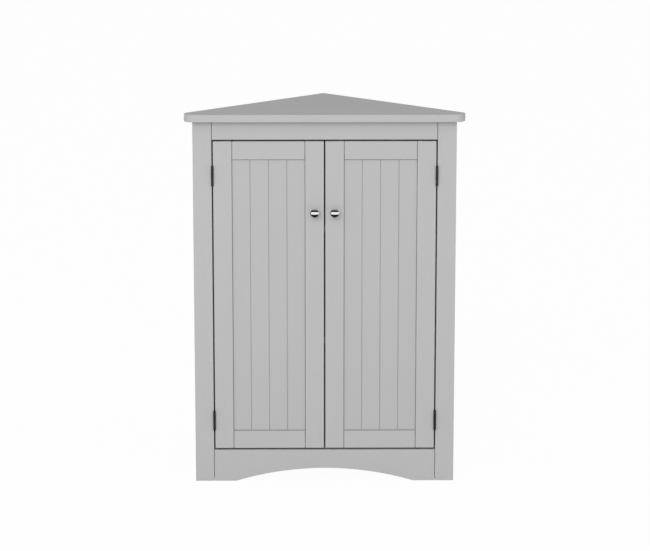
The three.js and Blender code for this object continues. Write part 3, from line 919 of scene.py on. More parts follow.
def joined(wiring: Wiring, *shapes: Wire) -> Wire:
    """Put several shapes of a tree together as one."""
    return wiring.add("GeometryNodeJoinGeometry", {"Geometry": list(shapes)})["Geometry"]


def fused(wiring: Wiring, *shapes: Wire) -> Wire:
    """Make one solid of several solids of a tree that run into each other."""
    inputs = {"Mesh 2": list(shapes)}
    return wiring.add("GeometryNodeMeshBoolean", inputs, operation="UNION", solver="EXACT")["Mesh"]


def carved(wiring: Wiring, shape: Wire, *cutters: Wire) -> Wire:
    """Cut shapes of a tree out of another."""
    inputs = {"Mesh 1": shape, "Mesh 2": list(cutters)}
    return wiring.add("GeometryNodeMeshBoolean", inputs, operation="DIFFERENCE", solver="EXACT")["Mesh"]


class ScrewTree(PartTree):
    """A screw or a cam: a head that faces Z, with a cross recess in it, and a shank below."""

    title = "Cross-head screws"
    lengths = (
        "Head Radius",
        "Under Radius",
        "Head Height",
        "Shank Radius",
        "Whole Length",
        "Cross Length",
        "Cross Width",
        "Cross Depth",
    )
    head_sides: ClassVar[int] = 32
    shank_sides: ClassVar[int] = 20

    def part(self, wiring: Wiring, given: Node) -> Wire:
        """Shape a screw whose head's top is at the origin.

        Args:
            wiring: The tree's wiring.
            given: The tree's inputs.

        Returns:
            The screw's wire.
        """
        height = given["Head Height"]
        head = tapered(wiring, self.head_sides, given["Under Radius"], given["Head Radius"], height)
        above_and_below = given["Cross Depth"] * 2
        bar = block(wiring, given["Cross Length"], given["Cross Width"], above_and_below)
        other_bar = moved(wiring, bar, turn=(0, 0, QUARTER_TURN))
        recessed = carved(wiring, moved(wiring, head, wiring.vector(z=-height)), bar, other_bar)
        reach = given["Whole Length"] - height / 2
        shank = rod(wiring, self.shank_sides, given["Shank Radius"], reach)
        middle = wiring.vector(z=reach / 2 - given["Whole Length"])
        return fused(wiring, recessed, moved(wiring, shank, middle))


class LeafTree(PartTree):
    """A hinge leaf on its pin's axis: knuckles that repeat along the pin, and a drilled plate."""

    title = "Hinge leaves"
    lengths = (
        "Hinge Length",
        "Knuckle Radius",
        "Bore Radius",
        "Knuckle Play",
        "Plate Inner",
        "Plate Outer",
        "Plate Front",
        "Plate Back",
        "Hole Radius",
        "Sink Radius",
        "Hole Rise",
    )
    counts = ("Knuckle Count", "First Knuckle", "Own Knuckles")
    overrun: ClassVar[float] = 0.1 * MM
    edge_share: ClassVar[float] = 0.35
    edge_steps: ClassVar[int] = 3
    barrel_sides: ClassVar[int] = 40
    hole_sides: ClassVar[int] = 24

    def part(self, wiring: Wiring, given: Node) -> Wire:
        """Shape a leaf: X points towards the wood and Y back into the gap.

        Args:
            wiring: The tree's wiring.
            given: The tree's inputs.

        Returns:
            The leaf's wire.
        """
        count = given["Knuckle Count"]
        pitch = (given["Hinge Length"] + given["Knuckle Play"]) / count
        length = pitch - given["Knuckle Play"]
        knuckle = fused(wiring, self.barrel(wiring, given, length), self.root(wiring, given, length))
        start = given["First Knuckle"] * pitch + length / 2 - given["Hinge Length"] / 2
        every_other = pitch * 2
        inputs = {
            "Count": given["Own Knuckles"],
            "Start Location": wiring.vector(z=start),
            "Offset": wiring.vector(z=every_other),
        }
        line = wiring.add("GeometryNodeMeshLine", inputs)["Mesh"]
        return fused(wiring, repeated(wiring, line, knuckle), self.plate(wiring, given))

    def barrel(self, wiring: Wiring, given: Node, length: Wire) -> Wire:
        """Shape one knuckle as a rounded wall carried round the pin.

        Args:
            wiring: The tree's wiring.
            given: The tree's inputs.
            length: The knuckle's length.

        Returns:
            The knuckle's wire.
        """
        wall = given["Knuckle Radius"] - given["Bore Radius"]
        sides = {"Width": wall, "Height": length}
        section = wiring.add("GeometryNodeCurvePrimitiveQuadrilateral", sides)["Curve"]
        rounding = {
            "Curve": section,
            "Count": self.edge_steps,
            "Radius": wall * self.edge_share,
            "Limit Radius": True,
        }
        eased = wiring.add("GeometryNodeFilletCurve", rounding, mode="POLY")["Curve"]
        circle = {"Resolution": self.barrel_sides, "Radius": given["Bore Radius"] + wall / 2}
        path = wiring.add("GeometryNodeCurvePrimitiveCircle", circle)["Curve"]
        return wiring.add("GeometryNodeCurveToMesh", {"Curve": path, "Profile Curve": eased})["Mesh"]

    def root(self, wiring: Wiring, given: Node, length: Wire) -> Wire:
        """Shape the strip that joins a knuckle to the plate.

        Args:
            wiring: The tree's wiring.
            given: The tree's inputs.
            length: The knuckle's length.

        Returns:
            The strip's wire.
        """
        front = (given["Bore Radius"] + given["Knuckle Radius"]) / 2
        return self.slab(wiring, given, front, given["Plate Back"] / 2, length)

    def slab(self, wiring: Wiring, given: Node, front: Wire, back: Wire, length: Wire) -> Wire:
        """Shape a flat piece of the leaf's metal.

        Args:
            wiring: The tree's wiring.
            given: The tree's inputs.
            front: Where it starts along Y.
            back: Where it ends along Y.
            length: Its length along the pin.

        Returns:
            The flat piece's wire.
        """
        inner, outer = given["Plate Inner"], given["Plate Outer"]
        metal = block(wiring, outer - inner, back - front, length)
        return moved(wiring, metal, wiring.vector((outer + inner) / 2, (front + back) / 2))

    def plate(self, wiring: Wiring, given: Node) -> Wire:
        """Shape the plate and countersink its two holes.

        Args:
            wiring: The tree's wiring.
            given: The tree's inputs.

        Returns:
            The plate's wire.
        """
        front, back = given["Plate Front"], given["Plate Back"]
        metal = self.slab(wiring, given, front, back, given["Hinge Length"])
        depth = given["Plate Outer"] + self.overrun
        sink = tapered(wiring, self.hole_sides, given["Sink Radius"], given["Hole Radius"], depth)
        middle = (front + back) / 2
        lying = (0, QUARTER_TURN, 0)
        holes = [
            moved(wiring, sink, wiring.vector(y=middle, z=given["Hole Rise"] * end), lying)
            for end in (-1, 1)
        ]
        return carved(wiring, metal, *holes)


class ShelfPinTree(PartTree):
    """A shelf pin along Y: a shank for its hole, a collar against the panel and a flat tab."""

    title = "Shelf pins"
    lengths = (
        "Shank Radius",
        "Shank Length",
        "Collar Radius",
        "Collar Thickness",
        "Tab Length",
        "Tab Width",
        "Tab Thickness",
    )
    shank_sides: ClassVar[int] = 24
    collar_sides: ClassVar[int] = 32

    def part(self, wiring: Wiring, given: Node) -> Wire:
        """Shape a pin whose collar touches the panel at the origin.

        Args:
            wiring: The tree's wiring.
            given: The tree's inputs.

        Returns:
            The pin's wire.
        """
        lying = (QUARTER_TURN, 0, 0)
        thickness = given["Collar Thickness"]
        overlap = thickness / 2
        shank = rod(wiring, self.shank_sides, given["Shank Radius"], given["Shank Length"] + overlap)
        collar = rod(wiring, self.collar_sides, given["Collar Radius"], thickness)
        tab = block(wiring, given["Tab Width"], given["Tab Length"], given["Tab Thickness"])
        rise = given["Shank Radius"] - given["Tab Thickness"] / 2
        reach = overlap + given["Tab Length"] / 2
        return fused(
            wiring,
            moved(wiring, shank, wiring.vector(y=(overlap - given["Shank Length"]) / 2), lying),
            moved(wiring, collar, wiring.vector(y=thickness / 2), lying),
            moved(wiring, tab, wiring.vector(y=reach, z=rise)),
        )


class BeadboardTree(PartTree):
    """A board of planks, with a rounded groove at each plank's edges and all round the board.

    The front is a grid. Its columns and rows lie close together across a groove and far apart on
    the flat, and outside the outer grooves a lip runs on into the door's frame.
    """

    title = "Beadboard panels"
    lengths = (
        "Plank Width",
        "Board Height",
        "Board Thickness",
        "Edge Reach",
        "Groove Half Width",
        "Groove Depth",
    )
    counts = ("Plank Count",)

    # The grid's steps across half a groove, and its lines from one groove to the next.
    steps: ClassVar[int] = 4
    cells: ClassVar[int] = 2 * steps + 1

    # A last line ends the last groove, and the lips at both ends have one line each.
    end_lines: ClassVar[int] = 3

    def part(self, wiring: Wiring, given: Node) -> Wire:
        """Shape a board whose front's lower left corner is at the origin, with its lips outside it.

        Args:
            wiring: The tree's wiring.
            given: The tree's inputs.

        Returns:
            The board's wire.
        """
        columns = given["Plank Count"] * self.cells + self.end_lines
        rows = self.cells + self.end_lines
        inputs = {"Size X": columns - 1, "Size Y": rows - 1, "Vertices X": columns, "Vertices Y": rows}
        grid = wiring.add("GeometryNodeMeshGrid", inputs)["Mesh"]
        place = wiring.place()
        width = given["Plank Width"] * given["Plank Count"]
        height = given["Board Height"] - given["Edge Reach"] * 2
        x = self.spread(given, self.numbered(place["X"], columns), given["Plank Width"], width)
        z = self.spread(given, self.numbered(place["Y"], rows), height, height)
        routed = self.routing(given, x, given["Plank Width"], width)
        depth = routed.work("MAXIMUM", self.routing(given, z, height, height)) * given["Groove Depth"]
        inputs = {"Geometry": grid, "Position": wiring.vector(x, depth, z)}
        front = wiring.add("GeometryNodeSetPosition", inputs)["Geometry"]
        return self.thickened(wiring, given, front)

    def numbered(self, place: Wire, lines: Wire | int) -> Wire:
        """Give the number of each of the grid's lines, from -1 at the first lip's outer edge."""
        return place + (lines - 1) / 2 - 1

    def spread(self, given: Node, index: Wire, pitch: Wire, whole: Wire) -> Wire:
        """Place the grid's lines along one of its sides.

        Args:
            given: The tree's inputs.
            index: A line's number, with 0 in the middle of the first groove.
            pitch: The distance from one groove to the next.
            whole: The distance from the first groove to the last.

        Returns:
            The wire that carries each line's place.
        """
        line = given["Groove Half Width"] / self.steps
        plank = ((index + 0.5) / self.cells).work("FLOOR")
        step = index - plank * self.cells
        past_flat = step > self.steps + 0.5
        even = plank * pitch + step * line + past_flat * (pitch - line * self.cells)
        lip = given["Edge Reach"] - line
        return even + lip * ((even > whole + SAME_PLACE) - (even < -SAME_PLACE))

    def routing(self, given: Node, place: Wire, pitch: Wire, whole: Wire) -> Wire:
        """Work out how deep the grooves that cross one side are.

        Args:
            given: The tree's inputs.
            place: A point's place along that side.
            pitch: The distance from one groove to the next.
            whole: The distance from the first groove to the last.

        Returns:
            The wire that carries the depth, as a share of a whole groove's.
        """
        inside = place.work("MAXIMUM", 0.0).work("MINIMUM", whole)
        offset = (inside - (inside / pitch).work("ROUND") * pitch).work("ABSOLUTE")
        share = (offset / given["Groove Half Width"]).work("MINIMUM", 1.0)
        return ((share * HALF_TURN).work("COSINE") + 1) / 2

    def thickened(self, wiring: Wiring, given: Node, sheet: Wire) -> Wire:
        """Give the routed front sheet a flat back.

        Args:
            wiring: The tree's wiring.
            given: The tree's inputs.
            sheet: The front sheet.

        Returns:
            The closed board's wire.
        """
        thickness = given["Board Thickness"]
        inputs = {
            "Mesh": sheet,
            "Offset": wiring.vector(y=1.0),
            "Offset Scale": thickness,
            "Individual": False,
        }
        pushed = wiring.add("GeometryNodeExtrudeMesh", inputs, mode="FACES")
        place = wiring.place()
        inputs = {
            "Geometry": pushed["Mesh"],
            "Selection": pushed["Top"],
            "Position": wiring.vector(place["X"], thickness, place["Z"]),
        }
        flat = wiring.add("GeometryNodeSetPosition", inputs)["Geometry"]
        inputs = {"Geometry": joined(wiring, flat, sheet), "Distance": SAME_PLACE}
        return wiring.add("GeometryNodeMergeByDistance", inputs)["Geometry"]


@dataclass
class Worktop:
    """The three-sided top, with its two front corners rounded and its back corner square."""

    corner_radius: float = 22 * MM
    arris: float = 1.3 * MM
    corner_steps: int = 18

    def outline(self) -> list[Point]:
        """Give the plan of the top.

        Returns:
            The points, in order from the back corner.
        """
        low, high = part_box("worktop")
        eighth = QUARTER_TURN / 2
        tangent = self.corner_radius / math.tan(eighth / 2)
        arc_x = high.y - low.y - tangent
        arc_y = low.y + self.corner_radius
        left = arc((-arc_x, arc_y), self.corner_radius, 3 * eighth, 6 * eighth, self.corner_steps)
        right = arc((arc_x, arc_y), self.corner_radius, -2 * eighth, eighth, self.corner_steps)
        return [(0.0, high.y), *left, *right]

    def build(self) -> None:
        """Build and dress the top."""
        low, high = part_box("worktop")
        mesh = prism("worktop_board", Way.UP, (self.outline(), low.z, high.z))
        fit("worktop_board", mesh, BOARD_PAINT, CARCASS, ("worktop",), self.arris)


@dataclass(frozen=True)
class GapEase:
    """How far the boards above and below a door's gaps stay back from them."""

    top: float = 0.25 * MM
    bottom: float = 0.5 * MM


@dataclass
class FaceFrame:
    """The frame across the front: two stiles, a top rail and an arched apron."""

    arris: float = 0.9 * MM
    joint_line: float = 0.8 * MM
    ease: GapEase = GapEase()
    foot_length: float = 47.8 * MM
    arch_rise: float = 28.4 * MM
    arch_steps: int = 56

    def board(self, node: str, joint_line: float = 0.0, ease: float = 0.0) -> None:
        """Build and dress one of the frame's straight boards.

        Args:
            node: The node that it replaces.
            joint_line: How far its ends stay clear of the boards that they meet.
            ease: How far its lower edge stays back from the gap below it.
        """
        low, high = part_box(node)
        name = f"{node}_board"
        outline = rectangle(low.x + joint_line, high.x - joint_line, low.z + ease, high.z)
        mesh = prism(name, Way.BACK, (outline, low.y, high.y))
        fit(name, mesh, BOARD_PAINT, CARCASS, (node,), self.arris)

    def apron(self) -> None:
        """Build and dress the apron, whose lower edge is an arc between its two feet."""
        low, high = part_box("arched_apron")
        arch_half = high.x - self.foot_length
        radius = (arch_half**2 + self.arch_rise**2) / (2 * self.arch_rise)
        centre = (0.0, low.z + self.arch_rise - radius)
        spring = math.asin((radius - self.arch_rise) / radius)
        curve = arc(centre, radius, HALF_TURN - spring, spring, self.arch_steps)
        left, right = low.x + self.joint_line, high.x - self.joint_line
        top = high.z - self.ease.bottom
        outline = [(right, low.z), (right, top), (left, top), (left, low.z), *curve]
        mesh = prism("arched_apron_board", Way.BACK, (outline, low.y, high.y))
        fit("arched_apron_board", mesh, BOARD_PAINT, CARCASS, ("arched_apron",), self.arris)

    def build(self) -> None:
        """Build the whole frame."""
        self.board("left_stile")
        self.board("right_stile")
        self.board("top_rail", self.joint_line, self.ease.top)
        self.apron()


@dataclass
class CornerBoards:
    """The boards that fill the corner: the floor panel and the two shelves."""

    arris: float = 0.8 * MM
    point_cut: float = 12 * MM
    least_edge: float = 1 * MM

    def build(self) -> None:
        """Build and dress the floor panel and the shelves."""
        for node in ("floor_panel", "lower_shelf", "upper_shelf"):
            low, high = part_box(node)
            shoulder = low.y + self.point_cut
            back_half = high.x - (high.y - shoulder)
            half = [(high.x, low.y), (high.x, shoulder), (max(back_half, 0.0), high.y)]
            other = [(-x, y) for x, y in reversed(half)]
            # A board that reaches the corner ends in a point, and a shorter one in a short edge.
            outline = [*half, *(other if back_half > self.least_edge else other[1:])]
            mesh = prism(f"{node}_board", Way.UP, (outline, low.z, high.z))
            fit(f"{node}_board", mesh, BOARD_PAINT, CARCASS, (node,), self.arris)


@dataclass(frozen=True)
class Screw:
    """A kind of cross-head screw or cam, given by the sizes that its maker would quote.

    The cross's length and width are shares of the head's radius, and its depth is a share of the
    head's height.
    """

    head_radius: float
    head_height: float
    under_radius: float
    shank_radius: float
    length: float = 12 * MM
    cross_length: float = 1.1
    cross_width: float = 0.2
    cross_depth: float = 0.45

    def drive(
        self,
        tree: ScrewTree,
        name: str,
        spots: list[Spot],
        finish: Finish,
        body: str,
        stands_for: tuple[str, ...] = (),
    ) -> None:
        """Build and dress a set of these screws.

        Args:
            tree: The tree that shapes them.
            name: The piece's name.
            spots: Where the heads' tops are, and where they face.
            finish: The finish that they are given.
            body: The body that they ride on.
            stands_for: The nodes that they replace.
        """
        sizes = {
            "Head Radius": self.head_radius,
            "Under Radius": self.under_radius,
            "Head Height": self.head_height,
            "Shank Radius": self.shank_radius,
            "Whole Length": self.length,
            "Cross Length": self.cross_length * self.head_radius,
            "Cross Width": self.cross_width * self.head_radius,
            "Cross Depth": self.cross_depth * self.head_height,
        }
        fit(name, tree.make(name, spots, finish, sizes), finish, body, stands_for)


@dataclass
class SidePanels:
    """The two panels that stand against the walls, with the fittings that hold them."""

    screw_tree: ScrewTree
    screw: Screw = Screw(
        head_radius=4.2 * MM,
        head_height=3.2 * MM,
        under_radius=2.2 * MM,
        shank_radius=2 * MM,
        length=38 * MM,
        cross_depth=0.14,
    )
    cam: Screw = Screw(
        head_radius=7.5 * MM,
        head_height=11.7 * MM,
        under_radius=7.5 * MM,
        shank_radius=3 * MM,
        length=11 * MM,
        cross_length=1.2,
        cross_width=0.19,
        cross_depth=0.14,
    )
    floor_screw_shares: tuple[float, ...] = (0.2, 0.5, 0.8)
    corner_screw_shares: tuple[float, ...] = (0.08, 0.36, 0.64, 0.92)
    screw_proud: float = 0.5 * MM
    cam_face_depth: float = 0.3 * MM
    cam_depth: float = 12 * MM
    panel_thickness: float = 15 * MM

    def wall_normal(self, side: Side) -> Vector:
        """Give the direction from a side panel towards its wall."""
        return Vector((side.value, 1, 0)).normalized()

    def wall_line(self, side: Side) -> tuple[Vector, Vector]:
        """Find the outer face of a side panel on plan.

        Args:
            side: The side.

        Returns:
            The outer back corner, and the step from there to the panel's front.
        """
        corner = Vector((0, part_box("left_side_panel")[1].y, 0))
        low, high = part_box(f"{side.word}_side_panel")
        front = Vector((high.x if side is Side.RIGHT else low.x, low.y, 0))
        return corner, front - corner

    def cams(self) -> None:
        """Build the cams that draw the side panels up to the worktop."""
        face = (self.cam_depth - self.cam_face_depth) / 2
        nodes, spots = [], []
        for side in Side:
            inward = -self.wall_normal(side)
            for end in PanelEnd:
                node = f"{side.word}_{end.value}_cam"
                nodes.append(node)
                spots.append(Spot.facing(centre_of(node), inward, face))
        self.cam.drive(self.screw_tree, "cams", spots, ZINC, CARCASS, tuple(nodes))

    def screws(self) -> None:
        """Build the screws that hold the floor panel and the back corner from outside."""
        panel_low, panel_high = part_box("left_side_panel")
        floor_height = Vector((0, 0, centre_of("floor_panel").z))
        spots = []
        for side in Side:
            corner, step = self.wall_line(side)
            out = self.wall_normal(side)
            for share in self.floor_screw_shares:
                spots.append(Spot.facing(corner + step * share + floor_height, out, self.screw_proud))
        corner, step = self.wall_line(Side.LEFT)
        inset = step.normalized() * self.panel_thickness / 2
        out = self.wall_normal(Side.LEFT)
        for share in self.corner_screw_shares:
            height = Vector((0, 0, panel_low.z + share * (panel_high.z - panel_low.z)))
            spots.append(Spot.facing(corner + inset + height, out, self.screw_proud))
        self.screw.drive(self.screw_tree, "carcass_screws", spots, ZINC, CARCASS)

    def build(self) -> None:
        """Dress the panels and the cam bolts, and build the cams and the screws."""
        for side in Side:
            dress(f"{side.word}_side_panel", BOARD_PAINT)
            for end in PanelEnd:
                dress(f"{side.word}_{end.value}_cam_bolt", ZINC)
        self.cams()
        self.screws()


@dataclass
class ShelfPins:
    """The eight pins that the two shelves rest on."""

    tree: ShelfPinTree
    sizes: dict[str, float] = field(
        default_factory=lambda: {
            "Shank Radius": 2.5 * MM,
            "Shank Length": 10 * MM,
            "Collar Radius": 3.8 * MM,
            "Collar Thickness": 1.2 * MM,
            "Tab Length": 10.4 * MM,
            "Tab Width": 7 * MM,
            "Tab Thickness": 1.8 * MM,
        },
    )

    def build(self) -> None:
        """Build and dress the pins, each turned to stand out of its side panel."""
        nodes, spots = [], []
        for height in (Height.LOWER, Height.UPPER):
            for side in Side:
                for end in PanelEnd:
                    node = f"{height.value}_shelf_pin_{side.word}_{end.value}"
                    nodes.append(node)
                    spots.append(self.spot(node, side))
        mesh = self.tree.make("shelf_pins", spots, ZINC, self.sizes)
        fit("shelf_pins", mesh, ZINC, CARCASS, tuple(nodes))

    def spot(self, node: str, side: Side) -> Spot:
        """Find where a pin's collar touches its panel.

        Args:
            node: The pin's node.
            side: The side that it is on.

        Returns:
            The pin's spot.
        """
        out = Vector((-side.value, -1, 0)).normalized()
        tab_end = self.sizes["Collar Thickness"] / 2 + self.sizes["Tab Length"]
        past_panel = tab_end + self.sizes["Tab Width"] / 2
        in_panel = self.sizes["Shank Length"] + self.sizes["Shank Radius"]
        collar = centre_of(node) - out * (past_panel - in_panel) / 2
        towards_panel = side.value * (QUARTER_TURN + QUARTER_TURN / 2)
        return Spot(collar, Euler((0, 0, towards_panel)))


@dataclass
class MagneticCatch:
    """The twin catch on its block behind the top rail, with a magnet for each door.

    Its housing lies behind the gap between the doors, and its near-black colour is painted shade
    that keeps the gap looking dark from top to bottom, although the record's slot has the name of a
    white one.
    """

    screw_tree: ScrewTree
    screw: Screw = Screw(
        head_radius=3 * MM,
        head_height=1.6 * MM,
        under_radius=3 * MM,
        shank_radius=1.6 * MM,
        length=17 * MM,
        cross_depth=0.28,
    )
    block_arris: float = 0.8 * MM
    screw_depth_share: float = 0.78
    screw_width_share: float = 0.5
    screw_proud: float = 0.5 * MM

    def catch_block(self) -> None:
        """Build and dress the block that carries the catch."""
        low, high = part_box("catch_block")
        outline = rectangle(low.x, high.x, low.z, high.z)
        mesh = prism("catch_block_board", Way.BACK, (outline, low.y, high.y))
        fit("catch_block_board", mesh, BOARD_PAINT, CARCASS, ("catch_block",), self.block_arris)

    def screws(self) -> None:
        """Build the housing's two screws, driven up from below."""
        low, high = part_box("twin_catch")
        back = low.y + (high.y - low.y) * self.screw_depth_share
        down = Vector((0, 0, -1))
        spots = [
            Spot.facing(Vector((x * self.screw_width_share, back, low.z)), down, self.screw_proud)
            for x in (low.x, high.x)
        ]
        self.screw.drive(self.screw_tree, "catch_screws", spots, ZINC, CARCASS)

    def build(self) -> None:
        """Build the block and the screws, and dress the housing and the magnets."""
        self.catch_block()
        # The housing is coloured near black as painted shade, so that the gap in front of it looks dark.
        dress("twin_catch", GAP_SHADE_PLASTIC)
        for side in Side:
            dress(f"{side.word}_catch_magnet", MAGNET_IRON)
        self.screws()


@dataclass
class Hinges:
    """The four butt hinges: their leaves, pins and screws."""

    leaf_tree: LeafTree
    screw_tree: ScrewTree
    screw: Screw = Screw(
        head_radius=2.5 * MM,
        head_height=1.2 * MM,
        under_radius=1.4 * MM,
        shank_radius=1.3 * MM,
    )
    length: float = 42 * MM
    knuckle_count: int = 3
    knuckle_radius: float = 2.75 * MM
    bore_radius: float = 1.25 * MM
    knuckle_play: float = 0.3 * MM
    plate_inner: float = 0.1 * MM
    plate_back: float = 16.5 * MM
    sink_radius: float = 2.6 * MM
    hole_radius: float = 1.5 * MM
    hole_share: float = 0.3
    screw_sink: float = 0.05 * MM
    pin_radius: float = 1.1 * MM
    pin_sides: int = 32
    tip_radius: float = 2.0 * MM
    tip_steps: int = 5

    def axis(self, side: Side, height: Height) -> Vector:
        """Find the middle of a hinge's pin."""
        return centre_of(f"{side.word}_{height.value}_hinge_pin")

    def sizes(self, leaf: Leaf) -> dict[str, float]:
        """Give the values for the leaf's tree.

        Counted from the bottom, the frame's leaf has the first knuckle, the door's leaf the second,
        and each has every other one from there.

        Args:
            leaf: Whether it is a frame or a door leaf.

        Returns:
            The values, by the names of the tree's inputs.
        """
        outer_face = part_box("right_upper_frame_leaf")[1].x
        first = 0 if leaf is Leaf.FRAME else 1
        return {
            "Hinge Length": self.length,
            "Knuckle Radius": self.knuckle_radius,
            "Bore Radius": self.bore_radius,
            "Knuckle Play": self.knuckle_play,
            "Plate Inner": self.plate_inner,
            "Plate Outer": outer_face - self.axis(Side.RIGHT, Height.UPPER).x,
            "Plate Front": self.knuckle_radius + self.knuckle_play,
            "Plate Back": self.plate_back,
            "Hole Radius": self.hole_radius,
            "Sink Radius": self.sink_radius,
            "Hole Rise": self.hole_share * self.length,
            "Knuckle Count": self.knuckle_count,
            "First Knuckle": first,
            "Own Knuckles": (self.knuckle_count - first + 1) // 2,
        }

    def leaf_screws(self, name: str, body: str, woods: list[tuple[Vector, int]]) -> None:
        """Build the screws of some leaves on one body.

        Args:
            name: The piece's name.
            body: The body that they ride on.
            woods: For each leaf its pin's middle, and the sign of X from there towards its wood.
        """
        back = (self.knuckle_radius + self.knuckle_play + self.plate_back) / 2
        spots = [
            Spot.facing(
                axis + Vector((wood * self.plate_inner, back, end * self.hole_share * self.length)),
                Vector((-wood, 0, 0)),
                -self.screw_sink,
            )
            for axis, wood in woods
            for end in (-1, 1)
        ]
        self.screw.drive(self.screw_tree, name, spots, BLACK_STEEL, body)

    def leaves(self, name: str, body: str, leaf: Leaf, sides: list[Side]) -> None:
        """Build the leaves that one body carries, with their screws.

        Args:
            name: The piece's name.
            body: The body that they ride on.
            leaf: Whether they are frame or door leaves.
            sides: The sides of the cupboard that they are on.
        """
        spots, woods, nodes = [], [], []
        for side in sides:
            for height in Height:
                axis = self.axis(side, height)
                wood = side.value if leaf is Leaf.FRAME else -side.value
                spots.append(Spot(axis, Euler((0, 0 if wood > 0 else HALF_TURN, 0))))
                woods.append((axis, wood))
                nodes.append(f"{side.word}_{height.value}_{leaf.value}_leaf")
        mesh = self.leaf_tree.make(name, spots, BLACK_STEEL, self.sizes(leaf))
        fit(name, mesh, BLACK_STEEL, body, tuple(nodes))
        self.leaf_screws(f"{name}_screws", body, woods)

    def pin(self, side: Side, height: Height) -> None:
        """Build and dress one hinge pin, with its two rounded tips.

        Args:
            side: The side of the cupboard.
            height: The hinge's height.
        """
        node = f"{side.word}_{height.value}_hinge_pin"
        low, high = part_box(node)
        half = (high.z - low.z) / 2
        tip = half - self.length / 2 - self.knuckle_play
        lower = oval_arc((0, tip - half), (self.tip_radius, tip), -QUARTER_TURN, 0, self.tip_steps)
        upper = [(radius, -rise) for radius, rise in reversed(lower)]
        profile = [*lower, (self.pin_radius, tip - half), (self.pin_radius, half - tip), *upper]
        mesh = turned(f"{node}_turned", profile, centre_of(node), Vector((0, 0, 1)), self.pin_sides)
        fit(f"{node}_turned", mesh, BLACK_STEEL, CARCASS, (node,))

    def build(self) -> None:
        """Build the hinges of both doors."""
        both = list(Side)
        self.leaves("frame_hinge_leaves", CARCASS, Leaf.FRAME, both)
        for side in both:
            self.leaves(f"{side.word}_door_hinge_leaves", side.door, Leaf.DOOR, [side])
            for height in Height:
                self.pin(side, height)


@dataclass
class Knob:
    """A turned mushroom knob: a foot, a waisted neck and a domed head.

    From foot to head, the neck first falls to its thinnest and then flares. Powers of the share of
    its height set how quickly it does both, and how its rings are spaced.
    """

    head_radius: float = 10 * MM
    neck_radius: float = 4.4 * MM
    neck_fall: int = 4
    neck_flare: int = 5
    neck_spacing: float = 0.8
    neck_steps: int = 14
    foot_radius: float = 6 * MM
    foot_height: float = 1.2 * MM
    foot_steps: int = 4
    dome_height: float = 5 * MM
    dome_steps: int = 20
    rim_height: float = 1.6 * MM
    sides: int = 72

    def profile(self, projection: float) -> list[Point]:
        """Draw the knob's profile, from its foot to the middle of its head.

        Args:
            projection: How far the knob stands out of the door.

        Returns:
            Points of radius and height.
        """
        ease = self.foot_height / 2
        start = self.foot_radius - ease
        foot = oval_arc((start, 0.0), (ease, self.foot_height), 0, QUARTER_TURN, self.foot_steps)
        rim_top = projection - self.dome_height
        neck_height = rim_top - self.rim_height - self.foot_height
        neck = []
        for share in (step / self.neck_steps for step in range(1, self.neck_steps + 1)):
            fall = (start - self.neck_radius) * (1 - share) ** self.neck_fall
            flare = (self.head_radius - self.neck_radius) * share**self.neck_flare
            rise = neck_height * share**self.neck_spacing
            neck.append((self.neck_radius + fall + flare, self.foot_height + rise))
        radii = (self.head_radius, self.dome_height)
        dome = oval_arc((0.0, rim_top), radii, 0, QUARTER_TURN, self.dome_steps)
        return [(0.0, 0.0), *foot, *neck, *dome]

    def build(self, side: Side) -> None:
        """Build and dress the knob of one door.

        Args:
            side: The door's side.
        """
        node = f"{side.word}_knob"
        name = f"{node}_turned"
        low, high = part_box(node)
        centre = centre_of(node)
        foot = Vector((centre.x, high.y, centre.z))
        mesh = turned(name, self.profile(high.y - low.y), foot, Vector((0, -1, 0)), self.sides)
        fit(name, mesh, CHROME, side.door, (node,))


